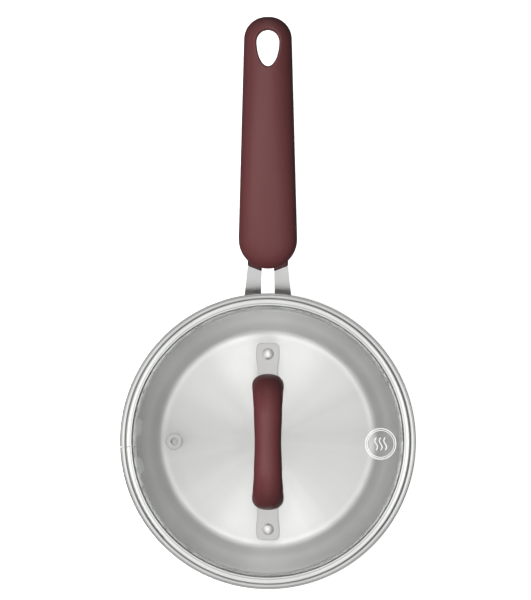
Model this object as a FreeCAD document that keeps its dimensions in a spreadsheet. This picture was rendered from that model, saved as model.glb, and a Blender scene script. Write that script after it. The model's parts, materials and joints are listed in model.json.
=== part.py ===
"""A 16 cm stainless steel saucepan with an encapsulated base, a soft-touch grip on a two-pronged
bracket, and a domed glass lid with a steel rim band and a silicone-sleeved strap handle.

Frame: millimetres, +Z up, +Y along the handle. The origin is the centre of the face that the pan
stands on. Lid pieces are drawn with z = 0 at the underside of the lid's flange and then lifted.
"""

import FreeCAD, Part
import math
import os
import Sketcher
from FreeCAD import Placement, Rotation, Vector

DOCUMENT_NAME = "saucepan"
SHEET_NAME = "Sizes"
CUT_MARGIN = 10  # how far a cutting outline reaches past the piece, in millimetres
CLOSE = 0.01  # distances and lengths that differ by less count as the same, in millimetres
STEEP = 0.9  # an edge that rises by this share of its length counts as upright
# Where the sleeve's sections stand in its bend, as a share of the turn, and how far each has
# swollen from the waist's width to the shoulder's.
SLEEVE_SWELL = ((0.12, 0.35), (0.45, 0.8), (0.75, 1), (1, 0.9))

# Driving dimensions: alias, value in millimetres or degrees, and what it measures.
DRIVING_SIZES = (
    ("pan_radius", 80, "inside of the pan's wall"),
    ("pan_wall", 0.7, "thickness of the pan's sheet"),
    ("pan_depth", 80, "floor to rim, inside"),
    ("corner_radius", 16, "inside radius between floor and wall"),
    ("rim_reach", 4.3, "how far the pouring rim stands out from the inside wall"),
    ("rim_bend", 1.8, "outer bend radius under the pouring rim"),
    ("rim_curl", 2.4, "height of the pouring rim's turned-down edge"),
    ("cap_sheet", 0.5, "thickness of the steel cap under the base"),
    ("core_thickness", 4.5, "aluminium disc inside the base"),
    ("base_edge_radius", 2.5, "rounded lower edge of the base"),
    ("seat_gap", 0.3, "air between the pan's rim and the lid's flange"),
    ("band_sheet", 0.45, "thickness of the lid band's sheet"),
    ("band_gap", 0.3, "air between the band's folded layers"),
    ("flange_radius", 85.5, "outer edge of the lid's flange"),
    ("bead_radius", 82.6, "outer wall of the raised bead over the glass edge"),
    ("lip_radius", 78.3, "inner edge of the band's top lip"),
    ("skirt_radius", 79.2, "outside of the skirt that hangs in the pan's mouth"),
    ("skirt_drop", 5, "how far the skirt hangs below the flange"),
    ("under_lip_radius", 76, "inner edge of the lip under the glass"),
    ("seam_angle", 2.2, "turn of the band's closing seam from -X towards -Y"),
    ("seam_width", 0.3, "gap between the band's two ends"),
    ("tab_spread", 8.5, "angle from the seam to each holding tab"),
    ("tab_width", 10, "width of a holding tab at its root"),
    ("tab_reach", 3, "how far a tab stands in from the under lip"),
    ("glass_thickness", 4, "tempered glass"),
    ("glass_radius", 81.9, "edge of the glass disc"),
    ("glass_edge_rounding", 1.4, "ground edge of the glass"),
    ("lip_gap", 0.02, "air between the band's lip and the glass"),
    ("bead_rounding", 1.35, "outer shoulder of the bead"),
    ("lip_rounding", 0.65, "inner edge of the band's top lip"),
    ("dome_radius", 75.5, "where the flat edge of the glass turns into the dome"),
    ("dome_rise", 11, "height of the dome over the flat edge"),
    ("dome_blend", 9, "rounding between the flat edge and the dome"),
    ("rivet_pitch", 100, "distance between the two rivets"),
    ("rivet_radius", 2, "rivet shank"),
    ("rivet_head_radius", 3.4, "rivet head"),
    ("rivet_head_height", 1.5, "rivet head"),
    ("rivet_upset_height", 1.05, "rivet head under the washer"),
    ("rivet_upset_rounding", 0.75, "edge of the rivet head under the washer"),
    ("rivet_clearance", 0.1, "air round the rivet's shank"),
    ("glass_hole_radius", 3.2, "hole in the glass for a rivet"),
    ("collar_gap", 0.1, "air between a gasket's collar and the hole in the glass"),
    ("strap_gasket", 0.8, "silicone pad under a strap foot"),
    ("under_gasket", 1, "silicone washer under the glass"),
    ("under_gasket_radius", 6.6, "silicone washer under the glass"),
    ("washer_thickness", 0.8, "steel washer under the glass"),
    ("washer_radius", 6, "steel washer under the glass"),
    ("washer_rounding", 0.3, "lower edge of the steel washer"),
    ("strap_sheet", 1.5, "thickness of the lid's strap"),
    ("strap_foot_width", 13.2, "strap at its feet"),
    ("strap_waist_width", 11.8, "strap between its feet"),
    ("strap_foot_end", 56.6, "centre of the lid to the end of a foot"),
    ("strap_foot_rounding", 3.2, "corners of a foot"),
    ("strap_waist_start", 45.5, "where a foot starts to narrow"),
    ("strap_ease", 4, "length and rounding of that narrowing"),
    ("strap_pad_inset", 0.5, "a foot's edge to the edge of the pad under it"),
    ("strap_pad_length", 14.1, "silicone pad under a foot"),
    ("strap_pad_rounding", 2.7, "corners of that pad"),
    ("bridge_height", 46, "middle of the strap at the bridge, over the flange"),
    ("bridge_half_span", 30.5, "centre to the corner where the bridge turns down"),
    ("bridge_bend", 18, "radius of that corner"),
    ("riser_foot", 34.5, "centre to the corner where the strap meets its foot"),
    ("riser_bend", 3.2, "radius of that corner"),
    ("sleeve_waist", 8, "half width of the sleeve at the middle"),
    ("sleeve_shoulder", 9.5, "half width of the sleeve at the bends"),
    ("sleeve_end", 7.6, "half width of the sleeve at its ends"),
    ("sleeve_thick", 5.4, "half thickness of the sleeve"),
    ("sleeve_end_thick", 3.6, "half thickness of the sleeve at its ends"),
    ("sleeve_end_height", 19, "sleeve's end over the flange"),
    ("sleeve_roundness", 0.9, "share of the half thickness that the sleeve's edges round off"),
    ("vent_distance", 54, "centre of the lid to the steam vent"),
    ("vent_bore", 1.9, "radius of the steam vent's hole"),
    ("vent_sheet", 0.5, "thickness of the eyelet"),
    ("vent_flange_radius", 4.6, "eyelet's flange"),
    ("vent_lower_flange_radius", 4.2, "eyelet's rolled flange under the glass"),
    ("vent_flange_rounding", 0.35, "edge of the eyelet's flange"),
    ("vent_mouth_rounding", 0.45, "where the eyelet's flanges turn into its bore"),
    ("vent_gasket_radius", 5, "silicone ring under the eyelet"),
    ("vent_gasket_thickness", 0.5, "silicone ring under the eyelet"),
    ("vent_collar_length", 3.6, "silicone collar in the vent's hole in the glass"),
    ("vent_hole_radius", 3.1, "hole in the glass for the vent"),
    ("bracket_sheet", 2, "thickness of the handle bracket"),
    ("bracket_rise", 16.3, "slope of the bracket's prongs and tang"),
    ("bracket_corner_drop", 9.4, "rim down to the corner where the prongs leave the wall"),
    ("bracket_bend", 10, "radius of that corner"),
    ("weld_plate_bottom_drop", 36, "rim down to the weld plate's lower edge"),
    ("weld_plate_top_drop", 17.5, "rim down to the weld plate's upper edge"),
    ("weld_plate_angle", 23, "angle of the wall that the weld plate covers"),
    ("weld_plate_rounding", 4, "corners of the weld plate"),
    ("prong_root_half", 13.6, "half width over both prongs at the wall"),
    ("prong_tip_half", 11.7, "half width over both prongs at the grip"),
    ("slot_root_half", 4, "half width between the prongs at the wall"),
    ("slot_tip_half", 3.5, "half width between the prongs at the grip"),
    ("slot_start", 83.4, "centre of the pan to the start of the slot"),
    ("slot_end", 103.3, "centre of the pan to the end of the slot"),
    ("slot_root_rounding", 1.5, "corners of the slot at the wall"),
    ("slot_tip_rounding", 2.5, "corners of the slot inside the grip"),
    ("prong_rounding", 1, "corners where the prongs narrow to the tang"),
    ("tang_half", 8.5, "half width of the tang inside the grip"),
    ("tang_end", 150, "centre of the pan to the end of the tang"),
    ("grip_start", 99.8, "centre of the pan to the grip's near end"),
    ("grip_end", 244, "centre of the pan to the grip's far end"),
    ("grip_root_half", 17.4, "half width of the grip at its near end"),
    ("grip_tip_half", 13.4, "half width of the grip at its far end"),
    ("grip_root_thickness", 18.4, "thickness of the grip at its near end"),
    ("grip_tip_thickness", 16, "thickness of the grip at its far end"),
    ("grip_tip_lift", 23, "middle of the grip's far end over the rim"),
    ("grip_top_arch", 470, "radius of the grip's upper side"),
    ("grip_bottom_arch", 560, "radius of the grip's lower side"),
    ("grip_rounding", 7.4, "rounding along the grip's edges"),
    ("grip_roundness", 0.97, "share of the half width that the grip's ends round off"),
    ("collar_outer_start", 101.5, "centre of the pan to the outer corner of a collar"),
    ("collar_inner_start", 98.3, "centre of the pan to the inner corner of a collar"),
    ("collar_end", 108, "centre of the pan to where a collar is inside the grip"),
    ("collar_half_height", 3.3, "half height of a collar round a prong"),
    ("eye_near_y", 215.5, "centre of the pan to the near end of the hanging eye"),
    ("eye_far_y", 236.6, "centre of the pan to the far end of the hanging eye"),
    ("eye_near_half", 2.3, "half width of the eye's outline at its near end, before rounding"),
    ("eye_far_half", 8.1, "half width of the eye's outline at its far end, before rounding"),
    ("eye_near_radius", 2.95, "rounding of the eye's near end"),
    ("eye_far_radius", 6.1, "rounding of the eye's far end"),
    ("eye_lip", 0.9, "rounding along both edges of the hanging eye"),
    ("screw_y", 128, "centre of the pan to the handle screw"),
    ("screw_radius", 1.9, "handle screw's shank"),
    ("screw_hole_radius", 2, "hole for the handle screw"),
    ("screw_head_radius", 3.6, "handle screw's head"),
    ("screw_head_height", 2.4, "handle screw's head"),
    ("screw_head_rounding", 1.45, "edge of the handle screw's head"),
    ("screw_tip_height", 2.4, "middle of the tang up to the screw's tip"),
    ("screw_tip_rounding", 0.4, "edge of the screw's tip"),
    ("screw_cross_length", 3.6, "cross recess in the screw's head"),
    ("screw_cross_width", 0.95, "cross recess in the screw's head"),
    ("screw_cross_depth", 1.2, "cross recess in the screw's head"),
    ("screw_head_drop", 4.2, "middle of the tang down to the washer's upper face"),
    ("lock_washer", 0.9, "thickness of the washer under the screw's head"),
    ("screw_recess_radius", 4.4, "recess round the screw's head"),
)


class Dim:
    """A size as the text of an expression on the sheet, and as its value."""

    def __init__(self, text, value):
        self.text = text
        self.value = value

    def __add__(self, other):
        other = dim(other)
        return Dim("(%s + %s)" % (self.text, other.text), self.value + other.value)

    def __radd__(self, other):
        return dim(other) + self

    def __sub__(self, other):
        other = dim(other)
        return Dim("(%s - %s)" % (self.text, other.text), self.value - other.value)

    def __rsub__(self, other):
        return dim(other) - self

    def __mul__(self, other):
        other = dim(other)
        return Dim("(%s * %s)" % (self.text, other.text), self.value * other.value)

    def __rmul__(self, other):
        return dim(other) * self

    def __truediv__(self, other):
        other = dim(other)
        return Dim("(%s / %s)" % (self.text, other.text), self.value / other.value)

    def __neg__(self):
        return Dim("(0 - %s)" % self.text, -self.value)


def dim(value):
    """The value as a Dim, if it isn't one yet."""
    return value if isinstance(value, Dim) else Dim(repr(value), value)


def sine(angle):
    return Dim("sin(%s)" % angle.text, math.sin(math.radians(angle.value)))


def cosine(angle):
    return Dim("cos(%s)" % angle.text, math.cos(math.radians(angle.value)))


def tangent(angle):
    return Dim("tan(%s)" % angle.text, math.tan(math.radians(angle.value)))


def arc_sine(ratio):
    return Dim("(asin(%s) / 1 deg)" % ratio.text, math.degrees(math.asin(ratio.value)))


def arc_tangent(ratio):
    return Dim("(atan(%s) / 1 deg)" % ratio.text, math.degrees(math.atan(ratio.value)))


def square_root(value):
    return Dim("sqrt(%s)" % value.text, math.sqrt(value.value))


class Sizes:
    """The sheet's cells as Dims, one attribute for each alias."""

    def __init__(self, document):
        sheet = document.addObject("Spreadsheet::Sheet", SHEET_NAME)
        for row, (alias, value, meaning) in enumerate(DRIVING_SIZES, start=1):
            sheet.set("A%d" % row, alias)
            sheet.set("B%d" % row, str(value))
            sheet.setAlias("B%d" % row, alias)
            sheet.set("C%d" % row, meaning)
            setattr(self, alias, Dim("%s.%s" % (SHEET_NAME, alias), value))


# ---------------------------------------------------------------------------------------------
# Sketches


def origin_plane(body, role):
    for feature in body.Origin.OriginFeatures:
        if feature.Role == role:
            return feature
    raise ValueError("no plane " + role)


def new_sketch(body, name, role, offset=None, tilt=None, axis=Vector(1, 0, 0)):
    """A sketch on one of the body's own planes, moved by offset and turned by tilt about axis,
    both in the plane's own directions."""
    sketch = body.newObject("Sketcher::SketchObject", name)
    sketch.AttachmentSupport = [(origin_plane(body, role), "")]
    sketch.MapMode = "FlatFace"
    bind_placement(sketch, "AttachmentOffset", offset or (0, 0, 0), tilt, axis)
    return sketch


def bind_placement(feature, name, base, tilt=None, axis=Vector(1, 0, 0)):
    """Sets a placement and binds its parts to the sheet."""
    base = [dim(part) for part in base]
    turn = Rotation(axis, tilt.value) if tilt else Rotation()
    setattr(feature, name, Placement(Vector(*[part.value for part in base]), turn))
    for letter, part in zip("xyz", base):
        if part.value:
            feature.setExpression("%s.Base.%s" % (name, letter), part.text)
    if tilt:
        feature.setExpression("%s.Rotation.Angle" % name, tilt.text)


def hold(sketch, kind, places, size):
    """Adds a constraint with a size, bound to the sheet."""
    index = sketch.addConstraint(Sketcher.Constraint(kind, *places, size.value))
    sketch.setExpression("Constraints[%d]" % index, size.text)


def fix_point(sketch, geometry, end, x, y):
    hold(sketch, "DistanceX", (geometry, end), x)
    hold(sketch, "DistanceY", (geometry, end), y)


class Corner:
    """A corner of an outline, with the radius that rounds it, if any, and the radius of the arc
    that runs on to the next corner in place of a straight side. A positive arc bulges to the
    left of its way round, a negative one to the right."""

    def __init__(self, x, y, rounding=None, arc=None):
        self.x = dim(x)
        self.y = dim(y)
        self.rounding = dim(rounding) if rounding is not None else None
        self.arc = arc
        self.point = Vector(self.x.value, self.y.value, 0)
        self.entry = self.point
        self.leave = self.point
        self.centre = None

    def round_off(self, before, after):
        """Works out where the rounding starts and ends."""
        back = (before.point - self.point).normalize()
        ahead = (after.point - self.point).normalize()
        half = back.getAngle(ahead) / 2
        radius = self.rounding.value
        self.entry = self.point + back * (radius / math.tan(half))
        self.leave = self.point + ahead * (radius / math.tan(half))
        self.centre = self.point + (back + ahead).normalize() * (radius / math.sin(half))


def arc_geometry(centre, start, end):
    """The short arc between two points, and which of its ends is the start."""
    first = start - centre
    last = end - centre
    turns_left = first.x * last.y - first.y * last.x > 0
    if not turns_left:
        first, last = last, first
    circle = Part.Circle(centre, Vector(0, 0, 1), first.Length)
    arc = Part.ArcOfCircle(
        circle, math.atan2(first.y, first.x), math.atan2(last.y, last.x)
    )
    return arc, 1 if turns_left else 2


def side_geometry(corner, following):
    """The side from one corner to the next, and which of its ends is the start."""
    if corner.arc is None:
        return Part.LineSegment(corner.leave, following.entry), 1
    chord = following.point - corner.point
    left = Vector(-chord.y, chord.x, 0).normalize()
    rise = math.sqrt(corner.arc.value**2 - (chord.Length / 2) ** 2)
    side = -1 if corner.arc.value > 0 else 1
    centre = corner.point + chord * 0.5 + left * (side * rise)
    return arc_geometry(centre, corner.point, following.point)


def trace(sketch, corners, closed=True):
    """Draws sides through the corners, rounds the corners, and fixes every size."""
    count = len(corners)
    for index, corner in enumerate(corners):
        inside = closed or 0 < index < count - 1
        if corner.rounding is not None and inside:
            corner.round_off(corners[index - 1], corners[(index + 1) % count])
    sides = []
    for index, corner in enumerate(corners[: count if closed else count - 1]):
        geometry, first = side_geometry(corner, corners[(index + 1) % count])
        sides.append((sketch.addGeometry(geometry, False), first, 3 - first))
        if corner.arc is not None:
            hold(sketch, "Radius", (sides[-1][0],), absolute(corner.arc))
    for index, corner in enumerate(corners):
        side_after = sides[index] if index < len(sides) else None
        side_before = sides[index - 1] if closed or index else None
        if corner.centre is None:
            place_sharp(sketch, corner, side_before, side_after)
        else:
            place_rounded(sketch, corner, side_before, side_after)


def absolute(size):
    return size if size.value > 0 else -size


def place_sharp(sketch, corner, before, after):
    held = after or before
    end = held[1] if after else held[2]
    fix_point(sketch, held[0], end, corner.x, corner.y)
    if before and after:
        meet = Sketcher.Constraint("Coincident", before[0], before[2], after[0], after[1])
        sketch.addConstraint(meet)


def place_rounded(sketch, corner, before, after):
    arc, first = arc_geometry(corner.centre, corner.entry, corner.leave)
    rounding = sketch.addGeometry(arc, False)
    point = sketch.addGeometry(Part.Point(corner.point), True)
    fix_point(sketch, point, 1, corner.x, corner.y)
    for side in (before, after):
        sketch.addConstraint(Sketcher.Constraint("PointOnObject", point, 1, side[0]))
    joins = (
        Sketcher.Constraint("Tangent", before[0], before[2], rounding, first),
        Sketcher.Constraint("Tangent", rounding, 3 - first, after[0], after[1]),
    )
    for join in joins:
        sketch.addConstraint(join)
    hold(sketch, "Radius", (rounding,), corner.rounding)


def circle(sketch, x, y, radius):
    x, y, radius = dim(x), dim(y), dim(radius)
    centre = Vector(x.value, y.value, 0)
    index = sketch.addGeometry(Part.Circle(centre, Vector(0, 0, 1), radius.value), False)
    fix_point(sketch, index, 3, x, y)
    hold(sketch, "Radius", (index,), radius)


# ---------------------------------------------------------------------------------------------
# Features


def new_body(document, label):
    body = document.addObject("PartDesign::Body", label)
    body.Label = label
    return body


def revolve(body, name, corners, angle=None, role="XZ_Plane"):
    """Turns a half section, drawn as radius and height, about the body's Z axis. An angle makes
    only that much of the turn, half of it on each side of the section's plane."""
    sketch = new_sketch(body, name + "_section", role)
    trace(sketch, corners)
    feature = body.newObject("PartDesign::Revolution", name)
    feature.Profile = sketch
    feature.ReferenceAxis = (sketch, ["V_Axis"])
    if angle:
        feature.Midplane = True
        feature.setExpression("Angle", angle.text)


def pad(body, name, sketch, length, both_ways=True):
    feature = body.newObject("PartDesign::Pad", name)
    feature.Profile = sketch
    feature.SideType = "Symmetric" if both_ways else "One side"
    feature.setExpression("Length", length.text)
    return feature


def cut_through(body, name, sketch, length):
    """Cuts the sketch's shape both ways from its plane, over the whole length."""
    body.Document.recompute()
    before = body.Shape.Volume
    feature = body.newObject("PartDesign::Pocket", name)
    feature.Profile = sketch
    feature.SideType = "Symmetric"
    feature.setExpression("Length", dim(length).text)
    body.Document.recompute()
    if body.Shape.Volume >= before:
        raise ValueError(name + " cut nothing")
    return feature


def sweep(body, kind, name, section, path):
    feature = body.newObject("PartDesign::" + kind, name)
    feature.Profile = section
    feature.Spine = (path, [])
    return feature


def mirror(body, name, originals, role):
    feature = body.newObject("PartDesign::Mirrored", name)
    feature.Originals = originals
    feature.MirrorPlane = (origin_plane(body, role), [""])
    body.Tip = feature
    body.Document.recompute()
    return feature


def round_edges(body, name, wanted, radius, kind="Fillet"):
    """Rounds or bevels the edges that the test picks out."""
    body.Document.recompute()
    base = body.Tip
    edges = [
        "Edge%d" % number
        for number, edge in enumerate(base.Shape.Edges, start=1)
        if wanted(edge)
    ]
    if not edges:
        raise ValueError(name + " found no edge")
    feature = body.newObject("PartDesign::" + kind, name)
    feature.Base = (base, edges)
    feature.setExpression("Size" if kind == "Chamfer" else "Radius", radius.text)
    return feature


def both_halves(corners):
    """An outline given for positive x, completed for negative x."""
    mirrored = [
        Corner(-corner.x, corner.y, corner.rounding) for corner in reversed(corners)
    ]
    return corners + mirrored


# ---------------------------------------------------------------------------------------------
# Derived sizes


class Levels:
    """Heights and slopes that several pieces share."""

    def __init__(self, s):
        self.base_height = s.cap_sheet + s.core_thickness
        self.floor = self.base_height + s.pan_wall
        self.rim = self.floor + s.pan_depth
        self.lid_seat = self.rim + s.seat_gap
        self.glass_bottom = 2 * s.band_sheet
        self.glass_top = self.glass_bottom + s.glass_thickness
        self.bead_top = self.glass_top + s.band_sheet + s.band_gap
        self.dome_arc = (s.dome_radius * s.dome_radius + s.dome_rise * s.dome_rise) / (
            2 * s.dome_rise
        )
        self.rivet_slope = arc_sine(s.rivet_pitch / 2 / self.dome_arc)
        self.vent_slope = arc_sine(s.vent_distance / self.dome_arc)
        self.bracket_corner = self.rim - s.bracket_corner_drop
        self.wall_outside = s.pan_radius + s.pan_wall
        self.bracket_middle = self.wall_outside + s.bracket_sheet / 2

    def glass_height(self, s, distance):
        """Top of the glass over the flange at a distance from the lid's centre."""
        reach = self.dome_arc * self.dome_arc - distance * distance
        return self.glass_top + s.dome_rise - self.dome_arc + square_root(reach)

    def prong_height(self, s, distance):
        """Middle of the bracket's sheet at a distance from the pan's centre."""
        return self.bracket_corner + (distance - self.bracket_middle) * tangent(s.bracket_rise)


# ---------------------------------------------------------------------------------------------
# Pan and base


def make_pan_body(document, s, z):
    """Drawn sheet: floor, corner, straight wall and a pouring rim whose edge is turned down."""
    body = new_body(document, "pan_body")
    outside = z.wall_outside
    rim_edge = s.pan_radius + s.rim_reach
    under_rim = z.rim - s.pan_wall
    corners = [
        Corner(0, z.base_height),
        Corner(outside, z.base_height, s.corner_radius + s.pan_wall),
        Corner(outside, under_rim, s.rim_bend),
        Corner(rim_edge - s.pan_wall, under_rim, s.rim_bend / 3),
        Corner(rim_edge - s.pan_wall, z.rim - s.rim_curl),
        Corner(rim_edge, z.rim - s.rim_curl),
        Corner(rim_edge, z.rim, s.rim_bend / 3 + s.pan_wall),
        Corner(s.pan_radius, z.rim, s.rim_bend + s.pan_wall),
        Corner(s.pan_radius, z.floor, s.corner_radius),
        Corner(0, z.floor),
    ]
    revolve(body, "drawn_sheet", corners)
    return body


def make_base_cap(document, s, z):
    """Thin steel cup that closes the aluminium disc against the pan's floor."""
    body = new_body(document, "base_cap")
    outside = s.pan_radius - s.corner_radius
    inside = outside - s.cap_sheet
    corners = [
        Corner(0, 0),
        Corner(outside, 0, s.base_edge_radius),
        Corner(outside, z.base_height),
        Corner(inside, z.base_height),
        Corner(inside, s.cap_sheet, s.base_edge_radius - s.cap_sheet),
        Corner(0, s.cap_sheet),
    ]
    revolve(body, "pressed_cup", corners)
    return body


def make_base_core_disc(document, s, z):
    body = new_body(document, "base_core_disc")
    outside = s.pan_radius - s.corner_radius - s.cap_sheet
    corners = [
        Corner(0, s.cap_sheet),
        Corner(outside, s.cap_sheet, s.base_edge_radius - s.cap_sheet),
        Corner(outside, z.base_height),
        Corner(0, z.base_height),
    ]
    revolve(body, "disc", corners)
    return body


# ---------------------------------------------------------------------------------------------
# Handle


def make_handle_bracket(document, s, z):
    """Steel strip: a curved plate welded to the wall, two prongs, and a tang for the grip."""
    body = new_body(document, "handle_bracket")
    plate_outside = z.wall_outside + s.bracket_sheet
    plate_top = z.rim - s.weld_plate_top_drop
    plate_bottom = z.rim - s.weld_plate_bottom_drop
    plate = [
        Corner(z.wall_outside, plate_bottom),
        Corner(plate_outside, plate_bottom),
        Corner(plate_outside, plate_top),
        Corner(z.wall_outside, plate_top),
    ]
    revolve(body, "weld_plate", plate, s.weld_plate_angle, "YZ_Plane")
    round_edges(body, "plate_corners", is_plate_corner, s.weld_plate_rounding)

    section = new_sketch(body, "strip_section", "XY_Plane", (0, 0, plate_top - s.bracket_sheet))
    half_sheet = s.bracket_sheet / 2
    trace(
        section,
        [
            Corner(-s.prong_root_half, z.bracket_middle - half_sheet),
            Corner(s.prong_root_half, z.bracket_middle - half_sheet),
            Corner(s.prong_root_half, z.bracket_middle + half_sheet),
            Corner(-s.prong_root_half, z.bracket_middle + half_sheet),
        ],
    )
    path = new_sketch(body, "strip_path", "YZ_Plane")
    trace(
        path,
        [
            Corner(z.bracket_middle, plate_top - s.bracket_sheet),
            Corner(z.bracket_middle, z.bracket_corner, s.bracket_bend),
            Corner(s.tang_end, z.prong_height(s, s.tang_end)),
        ],
        closed=False,
    )
    sweep(body, "AdditivePipe", "bent_strip", section, path)

    trim = new_sketch(body, "prong_trim", "XY_Plane")
    beside = s.prong_root_half + CUT_MARGIN
    beyond = s.tang_end + CUT_MARGIN
    trim_half = [
        Corner(s.prong_root_half, s.slot_start),
        Corner(s.prong_tip_half, s.collar_outer_start, s.prong_rounding),
        Corner(s.tang_half, s.collar_outer_start, s.prong_rounding),
        Corner(s.tang_half, beyond),
        Corner(beside, beyond),
        Corner(beside, s.slot_start),
    ]
    trace(trim, trim_half)
    trace(trim, [Corner(-corner.x, corner.y, corner.rounding) for corner in trim_half])
    cut_through(body, "prong_sides", trim, 4 * z.rim)

    slot = new_sketch(body, "prong_slot", "XY_Plane")
    slot_half = [
        Corner(s.slot_root_half, s.slot_start, s.slot_root_rounding),
        Corner(s.slot_tip_half, s.slot_end, s.slot_tip_rounding),
    ]
    trace(slot, both_halves(slot_half))
    cut_through(body, "prong_gap", slot, 4 * z.rim)

    screw = new_sketch(
        body,
        "screw_thread",
        "XY_Plane",
        (0, s.screw_y, z.prong_height(s, s.screw_y)),
        s.bracket_rise,
    )
    circle(screw, 0, 0, s.screw_hole_radius)
    cut_through(body, "threaded_hole", screw, 4 * s.bracket_sheet)
    return body


def is_plate_corner(edge):
    """The weld plate's short edges, which run through its thickness."""
    ends = [vertex.Point for vertex in edge.Vertexes]
    if len(ends) != 2:
        return False
    level = abs(ends[0].z - ends[1].z) < CLOSE
    return level and edge.Curve.TypeId == "Part::GeomLine"


def make_handle_grip(document, s, z, bracket):
    """Moulded grip: arched bar with rounded ends, two collars round the prongs, a hanging eye
    and a screw recess. The bracket's tang is then cut out of it."""
    body = new_body(document, "grip_moulding")
    root_middle = z.prong_height(s, s.grip_start)
    tip_middle = z.rim + s.grip_tip_lift
    side = new_sketch(body, "side_outline", "YZ_Plane")
    trace(
        side,
        [
            Corner(s.grip_start, root_middle - s.grip_root_thickness / 2, arc=s.grip_bottom_arch),
            Corner(s.grip_end, tip_middle - s.grip_tip_thickness / 2),
            Corner(s.grip_end, tip_middle + s.grip_tip_thickness / 2, arc=-s.grip_top_arch),
            Corner(s.grip_start, root_middle + s.grip_root_thickness / 2),
        ],
    )
    pad(body, "arched_bar", side, 2 * (s.grip_root_half + CUT_MARGIN))

    plan = new_sketch(body, "plan_outline", "XY_Plane")
    inner = [
        Corner(s.grip_root_half, s.grip_start, s.grip_root_half * s.grip_roundness),
        Corner(s.grip_tip_half, s.grip_end, s.grip_tip_half * s.grip_roundness),
    ]
    trace(plan, both_halves(inner))
    beside = s.grip_root_half + 2 * CUT_MARGIN
    outer = [
        Corner(beside, s.grip_start - CUT_MARGIN),
        Corner(beside, s.grip_end + CUT_MARGIN),
    ]
    trace(plan, both_halves(outer))
    tall = 4 * z.rim
    cut_through(body, "outside_of_plan", plan, tall)
    round_edges(body, "soft_edges", is_grip_edge, s.grip_rounding)

    for side_sign, name in ((1, "right"), (-1, "left")):
        add_collar(body, s, z, side_sign, name)

    eye = new_sketch(body, "eye_outline", "XY_Plane")
    eye_half = [
        Corner(s.eye_near_half, s.eye_near_y, s.eye_near_radius),
        Corner(s.eye_far_half, s.eye_far_y, s.eye_far_radius),
    ]
    trace(eye, both_halves(eye_half))
    cut_through(body, "hanging_eye", eye, tall)
    round_edges(body, "eye_lips", lambda edge: is_eye_edge(edge, s), s.eye_lip)

    recess_drop = s.screw_head_drop
    recess_depth = s.grip_root_thickness
    at_screw = (0, s.screw_y, z.prong_height(s, s.screw_y))
    hole = new_sketch(body, "screw_hole", "XY_Plane", at_screw, s.bracket_rise)
    circle(hole, 0, 0, s.screw_hole_radius)
    cut_through(body, "screw_bore", hole, 3 * recess_drop)
    below = (
        0,
        s.screw_y + sine(s.bracket_rise) * (recess_drop + recess_depth / 2),
        z.prong_height(s, s.screw_y)
        - cosine(s.bracket_rise) * (recess_drop + recess_depth / 2),
    )
    recess = new_sketch(body, "recess_outline", "XY_Plane", below, s.bracket_rise)
    circle(recess, 0, 0, s.screw_recess_radius)
    cut_through(body, "screw_recess", recess, recess_depth)

    grip = document.addObject("Part::Cut", "handle_grip")
    grip.Label = "handle_grip"
    grip.Base = body
    grip.Tool = bracket
    return grip


def is_grip_edge(edge):
    """Every edge of the bar except the upright ones."""
    ends = [vertex.Point for vertex in edge.Vertexes]
    upright = len(ends) == 2 and (ends[0] - ends[1]).getAngle(Vector(0, 0, 1)) in (0, math.pi)
    along = edge.tangentAt(edge.FirstParameter)
    return not upright and abs(along.z) < STEEP


def is_eye_edge(edge, s):
    """The hanging eye's edges, on the grip's upper and lower side."""
    middle = edge.CenterOfMass
    in_eye = s.eye_near_y.value - CLOSE < middle.y < s.eye_far_y.value + CLOSE
    near_axis = abs(middle.x) < s.eye_far_half.value
    ends = [vertex.Point for vertex in edge.Vertexes]
    through = len(ends) == 2 and (ends[0] - ends[1]).Length > s.grip_tip_thickness.value * STEEP
    straight_up = through and abs(ends[0].x - ends[1].x) < CLOSE
    return in_eye and near_axis and not straight_up


def add_collar(body, s, z, side, name):
    middle_y = (s.collar_outer_start + s.collar_end) / 2
    sketch = new_sketch(
        body, name + "_collar_outline", "XY_Plane", (0, 0, z.prong_height(s, middle_y))
    )
    corners = [
        Corner(side * s.slot_tip_half, s.collar_inner_start),
        Corner(side * s.prong_tip_half, s.collar_outer_start),
        Corner(side * s.prong_tip_half, s.collar_end),
        Corner(side * s.slot_tip_half, s.collar_end),
    ]
    trace(sketch, corners)
    pad(body, name + "_collar", sketch, 2 * s.collar_half_height)


def make_handle_screw(document, s, z):
    """Pan-head screw from below, through the grip into the tang's thread."""
    body = new_body(document, "handle_screw")
    head_top = -s.screw_head_drop - s.lock_washer
    head_bottom = head_top - s.screw_head_height
    corners = [
        Corner(0, head_bottom),
        Corner(s.screw_head_radius, head_bottom, s.screw_head_rounding),
        Corner(s.screw_head_radius, head_top),
        Corner(s.screw_radius, head_top),
        Corner(s.screw_radius, s.screw_tip_height, s.screw_tip_rounding),
        Corner(0, s.screw_tip_height),
    ]
    revolve(body, "turned_screw", corners)
    for name, length, width in (
        ("cross_a", s.screw_cross_length, s.screw_cross_width),
        ("cross_b", s.screw_cross_width, s.screw_cross_length),
    ):
        cross = new_sketch(body, name + "_outline", "XY_Plane", (0, 0, head_bottom))
        trace(cross, both_halves([Corner(length / 2, -width / 2), Corner(length / 2, width / 2)]))
        cut_through(body, name, cross, 2 * s.screw_cross_depth)
    place_on_tang(body, s, z)
    return body


def make_screw_washer(document, s, z):
    body = new_body(document, "handle_screw_washer")
    top = -s.screw_head_drop
    bottom = top - s.lock_washer
    corners = [
        Corner(s.screw_hole_radius, bottom),
        Corner(s.screw_head_radius, bottom),
        Corner(s.screw_head_radius, top),
        Corner(s.screw_hole_radius, top),
    ]
    revolve(body, "ring", corners)
    place_on_tang(body, s, z)
    return body


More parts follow.
